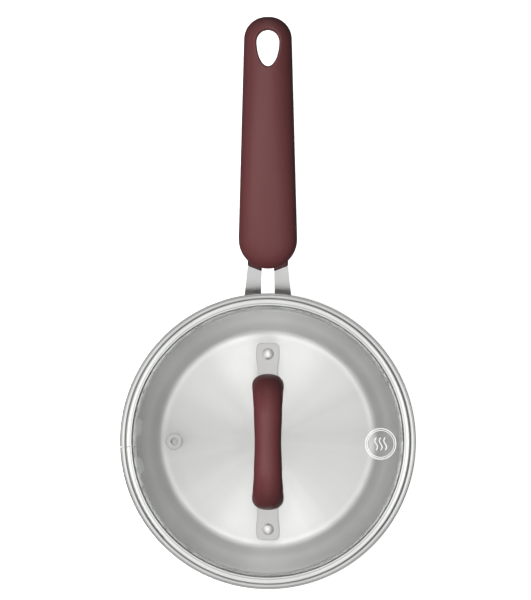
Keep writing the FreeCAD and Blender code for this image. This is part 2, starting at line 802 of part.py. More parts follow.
def place_on_tang(body, s, z):
    middle = (0, s.screw_y, z.prong_height(s, s.screw_y))
    bind_placement(body, "Placement", middle, s.bracket_rise)


# ---------------------------------------------------------------------------------------------
# Lid: glass, band and vent


def lift_lid_piece(body, z):
    bind_placement(body, "Placement", (0, 0, z.lid_seat))


def make_lid_glass(document, s, z):
    """Domed tempered glass with a flat edge, two rivet holes and a vent hole."""
    body = new_body(document, "lid_glass")
    corners = [
        Corner(0, z.glass_bottom + s.dome_rise, arc=z.dome_arc),
        Corner(s.dome_radius, z.glass_bottom),
        Corner(s.glass_radius, z.glass_bottom, s.glass_edge_rounding),
        Corner(s.glass_radius, z.glass_top, s.glass_edge_rounding),
        Corner(s.dome_radius, z.glass_top, arc=-z.dome_arc),
        Corner(0, z.glass_top + s.dome_rise),
    ]
    revolve(body, "pressed_glass", corners)
    round_edges(body, "dome_blends", lambda edge: is_dome_crease(edge, s), s.dome_blend)

    rivet_y = s.rivet_pitch / 2
    rivet_z = z.glass_height(s, rivet_y)
    vent_z = z.glass_height(s, s.vent_distance)
    holes = (
        ("rear_hole", (0, rivet_y, rivet_z), z.rivet_slope, Vector(-1, 0, 0), s.glass_hole_radius),
        ("front_hole", (0, -rivet_y, rivet_z), z.rivet_slope, Vector(1, 0, 0), s.glass_hole_radius),
        (
            "vent_hole",
            (-s.vent_distance, 0, vent_z),
            z.vent_slope,
            Vector(0, -1, 0),
            s.vent_hole_radius,
        ),
    )
    for name, base, slope, axis, radius in holes:
        sketch = new_sketch(body, name + "_outline", "XY_Plane", base, slope, axis)
        circle(sketch, 0, 0, radius)
        cut_through(body, name, sketch, 4 * s.glass_thickness)
    lift_lid_piece(body, z)
    return body


def is_dome_crease(edge, s):
    if edge.Degenerated or not edge.isClosed():
        return False
    return abs(edge.Length - 2 * math.pi * s.dome_radius.value) < CLOSE


def make_lid_rim_band(document, s, z):
    """Folded steel band: lip over the glass, bead, hemmed flange, skirt, and a lip under the
    glass with two holding tabs beside the closing seam."""
    body = new_body(document, "lid_rim_band")
    sheet = s.band_sheet
    hem_top = 2 * sheet + s.band_gap
    wall_inside = s.skirt_radius - 2 * sheet - s.band_gap
    lip_bottom = z.glass_top + s.lip_gap
    hem_inside = s.band_gap / 3
    hem_outside = sheet + hem_inside
    crease = sheet / 2
    corners = [
        Corner(s.lip_radius, lip_bottom),
        Corner(s.lip_radius + sheet, lip_bottom),
        Corner(s.lip_radius + sheet, z.bead_top - sheet, crease),
        Corner(s.bead_radius - sheet, z.bead_top - sheet, s.bead_rounding - sheet),
        Corner(s.bead_radius - sheet, sheet + s.band_gap, sheet),
        Corner(s.flange_radius - sheet, sheet + s.band_gap, hem_inside),
        Corner(s.flange_radius - sheet, sheet, hem_inside),
        Corner(s.skirt_radius - sheet, sheet, sheet),
        Corner(s.skirt_radius - sheet, sheet - s.skirt_drop, hem_inside),
        Corner(wall_inside + sheet, sheet - s.skirt_drop, hem_inside),
        Corner(wall_inside + sheet, z.glass_bottom, sheet),
        Corner(s.under_lip_radius, z.glass_bottom),
        Corner(s.under_lip_radius, sheet),
        Corner(wall_inside, sheet, crease),
        Corner(wall_inside, -s.skirt_drop, hem_outside),
        Corner(s.skirt_radius, -s.skirt_drop, hem_outside),
        Corner(s.skirt_radius, 0, sheet),
        Corner(s.flange_radius, 0, hem_outside),
        Corner(s.flange_radius, hem_top, hem_outside),
        Corner(s.bead_radius, hem_top, crease),
        Corner(s.bead_radius, z.bead_top, s.bead_rounding),
        Corner(s.lip_radius, z.bead_top, s.lip_rounding),
    ]
    revolve(body, "folded_band", corners)

    upright = Vector(0, 0, 1)
    middle_of_lip = (0, 0, sheet * 1.5)
    root = -s.under_lip_radius - s.band_gap
    tip = -s.under_lip_radius + s.tab_reach
    turns = (("rear", s.seam_angle - s.tab_spread), ("front", s.seam_angle + s.tab_spread))
    for name, turn in turns:
        tab = new_sketch(
            body, name + "_tab_outline", "XY_Plane", middle_of_lip, turn, upright
        )
        trace(
            tab,
            [
                Corner(root, s.tab_width / 2),
                Corner(tip, s.tab_width / 2, s.tab_reach),
                Corner(tip, -s.tab_width / 2, s.tab_reach),
                Corner(root, -s.tab_width / 2),
            ],
        )
        pad(body, name + "_tab", tab, sheet)

    seam = new_sketch(body, "seam_outline", "XY_Plane", None, s.seam_angle, upright)
    outside = -s.flange_radius - CUT_MARGIN
    inside = -s.under_lip_radius + CUT_MARGIN
    half_seam = s.seam_width / 2
    trace(
        seam,
        [
            Corner(outside, half_seam),
            Corner(outside, -half_seam),
            Corner(inside, -half_seam),
            Corner(inside, half_seam),
        ],
    )
    cut_through(body, "closing_seam", seam, 4 * s.skirt_drop)
    lift_lid_piece(body, z)
    return body


def place_on_glass(body, s, z, distance, slope, side):
    """Puts a piece's origin on top of the glass, square to it, on one side of the lid."""
    height = z.lid_seat + z.glass_height(s, distance)
    spots = {
        "rear": ((0, distance, height), Vector(-1, 0, 0)),
        "front": ((0, -distance, height), Vector(1, 0, 0)),
        "left": ((-distance, 0, height), Vector(0, -1, 0)),
    }
    base, axis = spots[side]
    bind_placement(body, "Placement", base, slope, axis)


def make_vent_eyelet(document, s, z):
    """Rolled steel eyelet with a flange above and below the glass."""
    body = new_body(document, "vent_eyelet")
    tube = s.vent_bore + s.vent_sheet
    top = s.vent_gasket_thickness + s.vent_sheet
    bottom = -s.glass_thickness - s.vent_sheet
    corners = [
        Corner(s.vent_bore, bottom, s.vent_mouth_rounding),
        Corner(s.vent_lower_flange_radius, bottom),
        Corner(s.vent_lower_flange_radius, bottom + s.vent_sheet),
        Corner(tube, bottom + s.vent_sheet),
        Corner(tube, s.vent_gasket_thickness),
        Corner(s.vent_flange_radius, s.vent_gasket_thickness),
        Corner(s.vent_flange_radius, top, s.vent_flange_rounding),
        Corner(s.vent_bore, top, s.vent_mouth_rounding),
    ]
    revolve(body, "rolled_tube", corners)
    place_on_glass(body, s, z, s.vent_distance, z.vent_slope, "left")
    return body


def make_vent_gasket(document, s, z):
    """Silicone ring on the glass with a collar in its hole."""
    body = new_body(document, "vent_gasket")
    tube = s.vent_bore + s.vent_sheet
    collar = s.vent_hole_radius - s.collar_gap
    corners = [
        Corner(tube, -s.vent_collar_length),
        Corner(collar, -s.vent_collar_length),
        Corner(collar, 0),
        Corner(s.vent_gasket_radius, 0),
        Corner(s.vent_gasket_radius, s.vent_gasket_thickness),
        Corner(tube, s.vent_gasket_thickness),
    ]
    revolve(body, "flanged_ring", corners)
    place_on_glass(body, s, z, s.vent_distance, z.vent_slope, "left")
    return body


# ---------------------------------------------------------------------------------------------
# Lid: strap handle and its fixings


def make_lid_strap(document, s, z):
    """Bent steel strap: bridge, two risers and two feet that lie on the glass."""
    body = new_body(document, "lid_strap")
    half_sheet = s.strap_sheet / 2
    half_width = s.strap_foot_width / 2
    section = new_sketch(body, "strap_section", "XZ_Plane")
    trace(
        section,
        both_halves(
            [
                Corner(half_width, s.bridge_height - half_sheet),
                Corner(half_width, s.bridge_height + half_sheet),
            ]
        ),
    )
    path = new_sketch(body, "strap_path", "YZ_Plane")
    trace(path, strap_path(s, z), closed=False)
    pipe = sweep(body, "AdditivePipe", "bent_strap", section, path)
    document.recompute()
    mirror(body, "other_half", [pipe], "XZ_Plane")

    waist = new_sketch(body, "waist_outline", "XY_Plane")
    outer = half_width + s.strap_ease
    inner = s.strap_waist_width / 2
    wide_end = s.strap_waist_start + 2 * s.strap_ease
    for side in (1, -1):
        trace(
            waist,
            [
                Corner(side * inner, -s.strap_waist_start, s.strap_ease),
                Corner(side * outer, -wide_end),
                Corner(side * outer, wide_end),
                Corner(side * inner, s.strap_waist_start, s.strap_ease),
            ],
        )
    cut_through(body, "waist", waist, 4 * s.bridge_height)

    for sign, name in ((1, "rear"), (-1, "front")):
        base = (0, sign * s.rivet_pitch / 2, z.glass_height(s, s.rivet_pitch / 2))
        hole = new_sketch(
            body, name + "_hole_outline", "XY_Plane", base, z.rivet_slope, Vector(-sign, 0, 0)
        )
        circle(hole, 0, 0, s.rivet_radius + s.rivet_clearance)
        cut_through(body, name + "_hole", hole, 4 * s.glass_thickness)
    round_edges(body, "foot_corners", lambda edge: is_foot_corner(edge, s), s.strap_foot_rounding)
    lift_lid_piece(body, z)
    return body


def foot_height(s, z, distance):
    """Middle of a foot's sheet over the flange, at a distance from the lid's centre."""
    lift = (s.strap_gasket + s.strap_sheet / 2) / cosine(z.rivet_slope)
    at_rivet = z.glass_height(s, s.rivet_pitch / 2) + lift
    return at_rivet - (distance - s.rivet_pitch / 2) * tangent(z.rivet_slope)


def strap_path(s, z):
    return [
        Corner(0, s.bridge_height),
        Corner(s.bridge_half_span, s.bridge_height, s.bridge_bend),
        Corner(s.riser_foot, foot_height(s, z, s.riser_foot), s.riser_bend),
        Corner(s.strap_foot_end, foot_height(s, z, s.strap_foot_end)),
    ]


def is_foot_corner(edge, s):
    """The short edges through the sheet at the four outer corners of the feet."""
    middle = edge.CenterOfMass
    at_end = abs(abs(middle.y) - s.strap_foot_end.value) < s.strap_sheet.value / 2
    at_side = abs(abs(middle.x) - s.strap_foot_width.value / 2) < CLOSE
    return at_end and at_side and edge.Length < 2 * s.strap_sheet.value


def make_lid_sleeve(document, s, z):
    """Silicone sleeve on the bridge and risers, narrowest in the middle."""
    body = new_body(document, "lid_sleeve")
    drop = s.bridge_height - foot_height(s, z, s.riser_foot)
    lean = arc_tangent((s.riser_foot - s.bridge_half_span) / drop)
    turn = 90 - lean
    trim = s.bridge_bend * tangent(turn / 2)
    bend_y = s.bridge_half_span - trim
    bend_z = s.bridge_height - s.bridge_bend
    end_y = s.riser_foot - (s.sleeve_end_height - foot_height(s, z, s.riser_foot)) * tangent(lean)
    stations = [(dim(0), s.bridge_height, None, s.sleeve_waist, s.sleeve_thick)]
    for share, swell in SLEEVE_SWELL:
        angle = turn * share
        stations.append(
            (
                bend_y + s.bridge_bend * sine(angle),
                bend_z + s.bridge_bend * cosine(angle),
                angle,
                s.sleeve_waist + (s.sleeve_shoulder - s.sleeve_waist) * swell,
                s.sleeve_thick,
            )
        )
    stations.append((end_y, s.sleeve_end_height, turn, s.sleeve_end, s.sleeve_end_thick))
    sections = []
    for number, (y, height, angle, width, thick) in enumerate(stations):
        section = new_sketch(
            body,
            "sleeve_section_%d" % number,
            "XZ_Plane",
            (0, height, -y),
            angle,
            Vector(-1, 0, 0),
        )
        rounding = thick * s.sleeve_roundness
        trace(section, both_halves([Corner(width, -thick, rounding), Corner(width, thick, rounding)]))
        sections.append(section)
    loft = body.newObject("PartDesign::AdditiveLoft", "moulded_half")
    loft.Profile = sections[0]
    loft.Sections = sections[1:]
    channel_section = new_sketch(body, "channel_section", "XZ_Plane")
    half_sheet = s.strap_sheet / 2
    half_width = s.strap_waist_width / 2
    trace(
        channel_section,
        both_halves(
            [
                Corner(half_width, s.bridge_height - half_sheet),
                Corner(half_width, s.bridge_height + half_sheet),
            ]
        ),
    )
    path = new_sketch(body, "channel_path", "YZ_Plane")
    trace(path, strap_path(s, z), closed=False)
    channel = sweep(body, "SubtractivePipe", "strap_channel", channel_section, path)
    document.recompute()
    mirror(body, "other_half", [loft, channel], "XZ_Plane")
    lift_lid_piece(body, z)
    return body


def make_strap_gasket(document, s, z, side):
    """Silicone pad between a strap foot and the glass."""
    body = new_body(document, "strap_gasket_" + side)
    half = s.strap_foot_width / 2 - s.strap_pad_inset
    far_end = (s.strap_foot_end - s.rivet_pitch / 2) / cosine(z.rivet_slope) - s.strap_pad_inset
    near_end = far_end - s.strap_pad_length
    outward = 1 if side == "rear" else -1
    sketch = new_sketch(body, "pad_outline", "XY_Plane")
    trace(
        sketch,
        both_halves(
            [
                Corner(half, outward * near_end, s.strap_pad_rounding),
                Corner(half, outward * far_end, s.strap_pad_rounding),
            ]
        ),
    )
    circle(sketch, 0, 0, s.rivet_radius + s.rivet_clearance)
    pad(body, "cut_pad", sketch, s.strap_gasket, both_ways=False)
    place_on_glass(body, s, z, s.rivet_pitch / 2, z.rivet_slope, side)
    return body


def make_under_gasket(document, s, z, side):
    """Silicone washer under the glass with a collar in the rivet's hole."""
    body = new_body(document, "under_gasket_" + side)
    bore = s.rivet_radius + s.rivet_clearance
    collar = s.glass_hole_radius - s.collar_gap
    top = -s.glass_thickness - s.collar_gap
    corners = [
        Corner(bore, top - s.under_gasket),
        Corner(s.under_gasket_radius, top - s.under_gasket),
        Corner(s.under_gasket_radius, top),
        Corner(collar, top),
        Corner(collar, -s.collar_gap),
        Corner(bore, -s.collar_gap),
    ]
    revolve(body, "collared_washer", corners)
    place_on_glass(body, s, z, s.rivet_pitch / 2, z.rivet_slope, side)
    return body


def washer_top(s):
    return -s.glass_thickness - s.collar_gap - s.under_gasket


def make_rivet_washer(document, s, z, side):
    body = new_body(document, "rivet_washer_" + side)
    bore = s.rivet_radius + s.rivet_clearance
    top = washer_top(s)
    corners = [
        Corner(bore, top - s.washer_thickness),
        Corner(s.washer_radius, top - s.washer_thickness, s.washer_rounding),
        Corner(s.washer_radius, top),
        Corner(bore, top),
    ]
    revolve(body, "steel_ring", corners)
    place_on_glass(body, s, z, s.rivet_pitch / 2, z.rivet_slope, side)
    return body


def make_lid_rivet(document, s, z, side):
    """Domed head on the strap, shank through the glass, and an upset head on the washer."""
    body = new_body(document, "lid_rivet_" + side)
    head_bottom = s.strap_gasket + s.strap_sheet
    head_top = head_bottom + s.rivet_head_height
    upset_top = washer_top(s) - s.washer_thickness
    upset_bottom = upset_top - s.rivet_upset_height
    head_arc = (
        s.rivet_head_radius * s.rivet_head_radius + s.rivet_head_height * s.rivet_head_height
    ) / (2 * s.rivet_head_height)
    corners = [
        Corner(0, upset_bottom),
        Corner(s.rivet_head_radius, upset_bottom, s.rivet_upset_rounding),
        Corner(s.rivet_head_radius, upset_top),
        Corner(s.rivet_radius, upset_top),
        Corner(s.rivet_radius, head_bottom),
        Corner(s.rivet_head_radius, head_bottom, arc=-head_arc),
        Corner(0, head_top),
    ]
    revolve(body, "turned_rivet", corners)
    place_on_glass(body, s, z, s.rivet_pitch / 2, z.rivet_slope, side)
    return body


# ---------------------------------------------------------------------------------------------
# The whole object


def make_parts(document):
    s = Sizes(document)
    document.recompute()
    z = Levels(s)
    bracket = make_handle_bracket(document, s, z)
    parts = [
        make_pan_body(document, s, z),
        make_base_cap(document, s, z),
        make_base_core_disc(document, s, z),
        bracket,
        make_handle_grip(document, s, z, bracket),
        make_handle_screw(document, s, z),
        make_screw_washer(document, s, z),
        make_lid_glass(document, s, z),
        make_lid_rim_band(document, s, z),
        make_vent_eyelet(document, s, z),
        make_vent_gasket(document, s, z),
        make_lid_strap(document, s, z),
        make_lid_sleeve(document, s, z),
    ]
    for side in ("rear", "front"):
        parts += [
            make_lid_rivet(document, s, z, side),
            make_strap_gasket(document, s, z, side),
            make_under_gasket(document, s, z, side),
            make_rivet_washer(document, s, z, side),
        ]
    document.recompute()
    return parts


def check(document, parts):
    """Stops if any object of the document failed or any sub-part isn't one valid solid."""
    for item in document.Objects:
        if "Invalid" in item.State or "Error" in item.State:
            raise ValueError("%s failed: %s" % (item.Name, item.State))
    for item in parts:
        shape = item.Shape
        if shape.isNull() or not shape.isValid() or len(shape.Solids) != 1:
            raise ValueError("%s is not one valid solid" % item.Label)


def main():
    document = FreeCAD.newDocument(DOCUMENT_NAME)
    parts = make_parts(document)
    check(document, parts)
    os.makedirs("parts", exist_ok=True)
    for item in parts:
        item.Shape.exportStep("parts/%s.step" % item.Label)
        box = item.Shape.BoundBox
        low = "%.1f %.1f %.1f" % (box.XMin, box.YMin, box.ZMin)
        high = "%.1f %.1f %.1f" % (box.XMax, box.YMax, box.ZMax)
        print("%-22s %9.1f mm3  %s  to  %s" % (item.Label, item.Shape.Volume, low, high))


main()
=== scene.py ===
"""The look of the saucepan with glass lid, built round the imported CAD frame.

Everything is in metres in the frame of the CAD: +Z up, +Y along the handle, the origin on the
floor under the middle of the pan. Each piece and material has its own function.
"""

import json
import math
import bmesh
import bpy
import numpy as np
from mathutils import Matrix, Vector
from mathutils.geometry import delaunay_2d_cdt


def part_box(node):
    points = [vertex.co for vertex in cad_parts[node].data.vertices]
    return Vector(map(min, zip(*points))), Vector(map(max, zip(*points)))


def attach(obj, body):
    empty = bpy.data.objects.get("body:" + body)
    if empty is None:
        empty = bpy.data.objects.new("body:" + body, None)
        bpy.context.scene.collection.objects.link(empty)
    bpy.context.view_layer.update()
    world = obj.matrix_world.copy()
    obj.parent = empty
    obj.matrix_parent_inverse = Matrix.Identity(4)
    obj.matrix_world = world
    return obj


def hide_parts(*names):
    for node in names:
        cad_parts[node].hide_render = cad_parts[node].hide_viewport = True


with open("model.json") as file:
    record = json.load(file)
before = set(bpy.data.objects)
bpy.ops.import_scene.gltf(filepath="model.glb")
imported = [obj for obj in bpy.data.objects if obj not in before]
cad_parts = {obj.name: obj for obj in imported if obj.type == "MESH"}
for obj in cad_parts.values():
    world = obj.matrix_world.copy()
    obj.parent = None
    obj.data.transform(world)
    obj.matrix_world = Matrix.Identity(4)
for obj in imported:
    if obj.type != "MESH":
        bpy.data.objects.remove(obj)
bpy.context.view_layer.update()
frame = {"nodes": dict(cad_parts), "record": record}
boxes = {node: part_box(node) for node in frame["nodes"]}

# The camera looks straight down. VIEW_HEIGHT and VIEW_CENTRE are the height and the middle of
# what it sees at the rim's level.
VIEW_HEIGHT = 0.3462
VIEW_CENTRE = Vector((-0.0014, 0.0816))
CAMERA_DISTANCE = 3.3
CAMERA_SHIFT = 0.105
SENSOR_MM = 36.0

# A lamp's place, the point it faces, its size and its power.
KEY_LAMP = ((-0.26, -0.03, 0.72), (0.0, 0.02, 0.08), 0.4, 4.0)
FILL_LAMP = ((0.0, 0.05, 2.2), (0.0, 0.05, 0.0), 3.0, 3.0)

# The floor's size, its gap under the pan, and its own light for the camera and for all else.
FLOOR_SIZE = 6.0
FLOOR_GAP = 0.0002
FLOOR_GLOW = 0.97
FLOOR_BOUNCE = 0.18

# The room that the steel mirrors: its level, how much brighter it is towards -X, and its level
# overhead, which it reaches between two rises of a direction.
ROOM_LIGHT = 0.42
LIGHT_LEAN = 0.4
OVERHEAD_LIGHT = 0.82
OVERHEAD_RISE = (0.3, 0.9)
# The soft bright oval overhead: its level, its spread along X and Y, and the rises between which
# it comes up from the horizon.
OVAL_LIGHT = 2.7
OVAL_SPAN = (0.1, 1.1)
OVAL_RISE = (0.0, 0.2)

ARC_STEP = math.radians(6)  # how finely rounded corners are divided
SHARP_ANGLE = math.radians(32)  # edges that turn by more are shaded sharp
MERGE_DISTANCE = 1e-7  # points closer than this are one

# The grip: a tapering bar, rounded at both ends, flat-crowned near the pan and nearly round at
# its far end, with an egg-shaped eye.
GRIP_START = 0.0998
GRIP_END = boxes["handle_grip"][1].y
GRIP_ROOT_HALF = 0.0174
GRIP_TIP_HALF = 0.0134
GRIP_ROUNDNESS = 0.97
GRIP_ROOT_THICK = 0.0092
GRIP_TIP_THICK = 0.0080
GRIP_ROOT_MIDDLE = 0.0816
GRIP_TIP_MIDDLE = 0.1087
GRIP_ARCH_RADIUS = 0.51
GRIP_ROOT_POWER = 3.0
GRIP_TIP_POWER = 2.1
GRIP_POWER_RATE = 1.25  # how much sooner than the far end the crown has its far shape
GRIP_OUTLINE_SPACING = 0.0016
GRIP_RING_DEGREES = 5  # round the crown, from one ring of points to the next
GRIP_MIDDLE_SPACING = 0.002
GRIP_MIDDLE_CLEARANCE = 0.0006
EYE_CENTRE = 0.2298  # where the eye is widest
EYE_HALF_WIDTH = 0.0065
EYE_FAR = 0.0068
EYE_NEAR = 0.0143
EYE_LIP = 0.0014
EYE_STEPS = 64
EYE_LIP_STEPS = 6
EYE_CLEARANCE = EYE_LIP * 1.25  # no other points come this near the eye
COLLAR_INNER = 0.0035
COLLAR_OUTER = 0.0117
COLLAR_HALF_HEIGHT = 0.0033
COLLAR_INNER_START = 0.0983
COLLAR_OUTER_START = 0.1015
COLLAR_LENGTH = 0.008
COLLAR_ROUNDING = 0.0008
COLLAR_ROUNDING_STEPS = 6
COLLAR_POWER = 6.0
COLLAR_STEPS = 64
SCREW_Y = 0.128
SCREW_RECESS = 0.0044
RECESS_STEPS = 48
TRIANGLES_INSIDE = 1  # asks for the triangles inside the outline alone
TRIANGLE_PRECISION = 1e-9

# The lid. Heights are over its seat on the rim.
LID_SEAT = 0.086
GLASS_EDGE_TOP = 0.0049
DOME_RISE = 0.011
DOME_ARC = 0.2646

# The sleeve follows the lid's strap: level, round a bend, then down at a lean.
STRAP_HEIGHT = 0.046
BEND_CENTRE = 0.01472
BEND_RADIUS = 0.018
BEND_TURN = math.radians(82.5)
SLEEVE_END_HEIGHT = 0.019
SLEEVE_POWER = 2.15
# How far along the half sleeve, its half width and its half thickness.
SLEEVE_STATIONS = [
    (0.0, 0.0076, 0.0054),
    (0.35, 0.0081, 0.0054),
    (0.55, 0.0087, 0.0054),
    (0.7, 0.0091, 0.0058),
    (0.82, 0.0090, 0.0061),
    (1.0, 0.0078, 0.0050),
]
SLEEVE_END_ROUNDING = 0.0012
SLEEVE_END_STEPS = 8
SLEEVE_LENGTH_STEPS = 60
SLEEVE_RING_STEPS = 72

# Painted light and shade on the rolled band round the glass, from under the glass outwards: rings of
# lighter and darker colour for the shading of its rolled shape and the glass's shade on its lower
# lip, as (radius, share of its colour).
BAND_PAINTED_LIGHT = [
    (0.0740, 0.27),
    (0.0766, 0.33),
    (0.0776, 0.6),
    (0.0784, 1.0),
    (0.0792, 0.95),
    (0.0796, 0.45),
    (0.0800, 0.95),
    (0.0823, 1.0),
    (0.0827, 0.53),
    (0.0830, 0.53),
    (0.0834, 0.85),
    (0.0839, 0.85),
    (0.0843, 0.4),
    (0.0848, 0.4),
    (0.0852, 0.8),
    (0.0856, 0.8),
]

# The pan's inside, as (radius, share of its colour) and (radius, share of its roughness): its
# floor shines more than the corner round it. The colour's rings are painted light and shade,
# lighter or darker by radius for how bright floor, corner and wall look.
PAN_PAINTED_LIGHT = [
    (0.0001, 0.78),
    (0.0590, 0.8),
    (0.0612, 0.9),
    (0.0624, 0.92),
    (0.0655, 0.78),
    (0.0680, 0.84),
    (0.0710, 1.0),
    (0.0790, 1.06),
    (0.0800, 1.15),
    (0.0860, 1.15),
]
PAN_DULLER = [
    (0.0001, 0.58),
    (0.0615, 0.58),
    (0.0655, 1.0),
    (0.0790, 1.0),
    (0.0800, 0.7),
    (0.0860, 0.7),
]

# Steel turned on a lathe: how far its circles drift, the broad lines' frequency as a share of the
# fine ones', their share in its tone beside that of the fans of light and dark, which are painted
# sheen round the axis, and its darkest tone. A swing is how far the roughness strays, as a share of it.
LINE_DRIFT = 0.006
BROAD_LINES = 0.12
BROAD_SHARE = 0.35
FAN_SCALE = 3.0
FAN_EDGES = (0.3, 0.7)
TURNED_DARK = 0.9
TURNED_SWING = 0.15

# Steel brushed along Y: the frequency of its lines along each axis, that of its handling marks,
# the lines' share in its roughness, and its darkest tone.
SHEET_STRETCH = (2200.0, 30.0, 2200.0)
SHEET_PATCHES = 60.0
SHEET_LINE_SHARE = 0.6
SHEET_DARK = 0.92
SHEET_SWING = 0.25

# Plastic and silicone: the frequency of its cloudy patches, the grain's share in its roughness,
# its darkest and its lightest tone.
CLOUD_SCALE = 45.0
GRAIN_SHARE = 0.4
SOFT_DARK = 0.9
SOFT_LIGHT = 1.1
SOFT_SWING = 0.12

# The glass reflects the first share of the light when seen face on, the second at a grazing
# angle, and the power sets how late it rises.
GLASS_REFLECTS = (0.02, 0.9)
GLASS_POWER = 5.0
GLASS_ROUGHNESS = (0.012, 0.05)
GLASS_TINT = (0.99, 0.993, 0.991, 1.0)

# The printed sign on the glass. Its circles are given as shares of the radius and of the line's
# width, and its waves by how far they lie from the middle.
MARK_CENTRE = Vector((0.065, -0.0014))
MARK_RADIUS = 0.0088
MARK_LINE = 0.00055
MARK_THICKNESS = 0.00006
MARK_CIRCLES = [(1.0, 1.0), (0.88, 0.7)]
MARK_CIRCLE_STEPS = 96
MARK_WAVES = [-0.0026, 0.0, 0.0026]
MARK_WAVE_REACH = 0.0036
MARK_WAVE_SWAY = 0.0008
MARK_WAVE_STEPS = 32

# CAD parts whose sharp edges are rounded for the eye, and by how much.
SOFTENED = {"lid_strap": 0.0003, "handle_bracket": 0.0004}
SOFTEN_WELD = 1e-6
SOFTEN_FLAT = math.radians(1)
SOFTEN_ANGLE = math.radians(50)
SOFTEN_SEGMENTS = 3

# CAD parts that don't wear the material of their slot.
OWN_MATERIALS = {
    "lid_rim_band": "rolled_steel",
    "vent_eyelet": "eyelet",
    "handle_bracket": "bracket",
}


# ---------------------------------------------------------------------------------------------
# Node helpers


class Nodes:
    """A node tree whose nodes are added and linked in one call each."""

    def __init__(self, tree):
        self.tree = tree

    def node(self, kind, inputs=None, **settings):
        """Adds a node, sets its settings, and sets or links its inputs by name or number."""
        node = self.tree.nodes.new("ShaderNode" + kind)
        for name, value in settings.items():
            setattr(node, name, value)
        for key, value in (inputs or {}).items():
            self.feed(node.inputs[key], value)
        return node

    def feed(self, socket, value):
        if isinstance(value, bpy.types.NodeSocket):
            self.tree.links.new(value, socket)
        else:
            socket.default_value = value

    def math(self, operation, *values):
        node = self.node("Math", operation=operation)
        for socket, value in zip(node.inputs, values):
            self.feed(socket, value)
        return node.outputs[0]

    def noise(self, vector, scale, detail=2.0, roughness=0.5):
        inputs = {"Vector": vector, "Scale": scale, "Detail": detail, "Roughness": roughness}
        return self.node("TexNoise", inputs).outputs[0]

    def spread(self, value, low, high):
        """Maps 0..1 to low..high."""
        node = self.node("MapRange", {"Value": value, "To Min": low, "To Max": high})
        return node.outputs[0]

    def around(self, value, middle, swing):
        """Maps 0..1 to the middle and that share of it either way."""
        return self.spread(value, middle * (1 - swing), middle * (1 + swing))

    def weigh(self, first, share, second):
        """The first value's share, and the second for the rest."""
        parts = self.math("MULTIPLY", first, share), self.math("MULTIPLY", second, 1 - share)
        return self.math("ADD", *parts)

    def ease(self, value, start, end):
        """Rises smoothly from 0 to 1 as the value goes from start to end."""
        inputs = {"Value": value, "From Min": start, "From Max": end}
        return self.node("MapRange", inputs, interpolation_type="SMOOTHSTEP").outputs[0]

    def ramp(self, value, stops):
        """Runs through (place, level) stops as the value goes to the last stop's place."""
        end = stops[-1][0]
        node = self.node("ValToRGB", {"Fac": self.math("DIVIDE", value, end)})
        elements = node.color_ramp.elements
        elements[0].position = stops[0][0] / end
        elements[0].color = grey(stops[0][1])
        elements[1].position = 1.0
        elements[1].color = grey(stops[-1][1])
        for place, level in stops[1:-1]:
            elements.new(place / end).color = grey(level)
        return node.outputs[0]

    def blend_colours(self, share, first, second):
        node = self.node("Mix", data_type="RGBA")
        for socket, value in zip((node.inputs[0], node.inputs[6], node.inputs[7]), (share, first, second)):
            self.feed(socket, value)
        return node.outputs[2]

    def blend_shaders(self, share, first, second):
        inputs = {0: share, 1: first.outputs[0], 2: second.outputs[0]}
        return self.node("MixShader", inputs)


class Shading(Nodes):
    """The nodes of a new material."""

    def __init__(self, name):
        self.material = bpy.data.materials.new(name)
        self.material.use_nodes = True
        super().__init__(self.material.node_tree)

    def surface(self, **inputs):
        """Sets or links inputs of the Principled shader. A double underscore stands for a space."""
        for key, value in inputs.items():
            self.feed(self.tree.nodes["Principled BSDF"].inputs[key.replace("__", " ")], value)

    def show(self, shader):
        """Uses another shader than the Principled one."""
        self.feed(self.tree.nodes["Material Output"].inputs["Surface"], shader.outputs[0])

    def place(self):
        return self.node("TexCoord").outputs["Object"]

    def bump(self, height, distance, strength=1.0):
        inputs = {"Height": height, "Distance": distance, "Strength": strength}
        return self.node("Bump", inputs).outputs[0]


def grey(value):
    return (value, value, value, 1.0)


def shaded(colour, share):
    return (*(part * share for part in colour[:3]), 1.0)


# ---------------------------------------------------------------------------------------------
# Materials


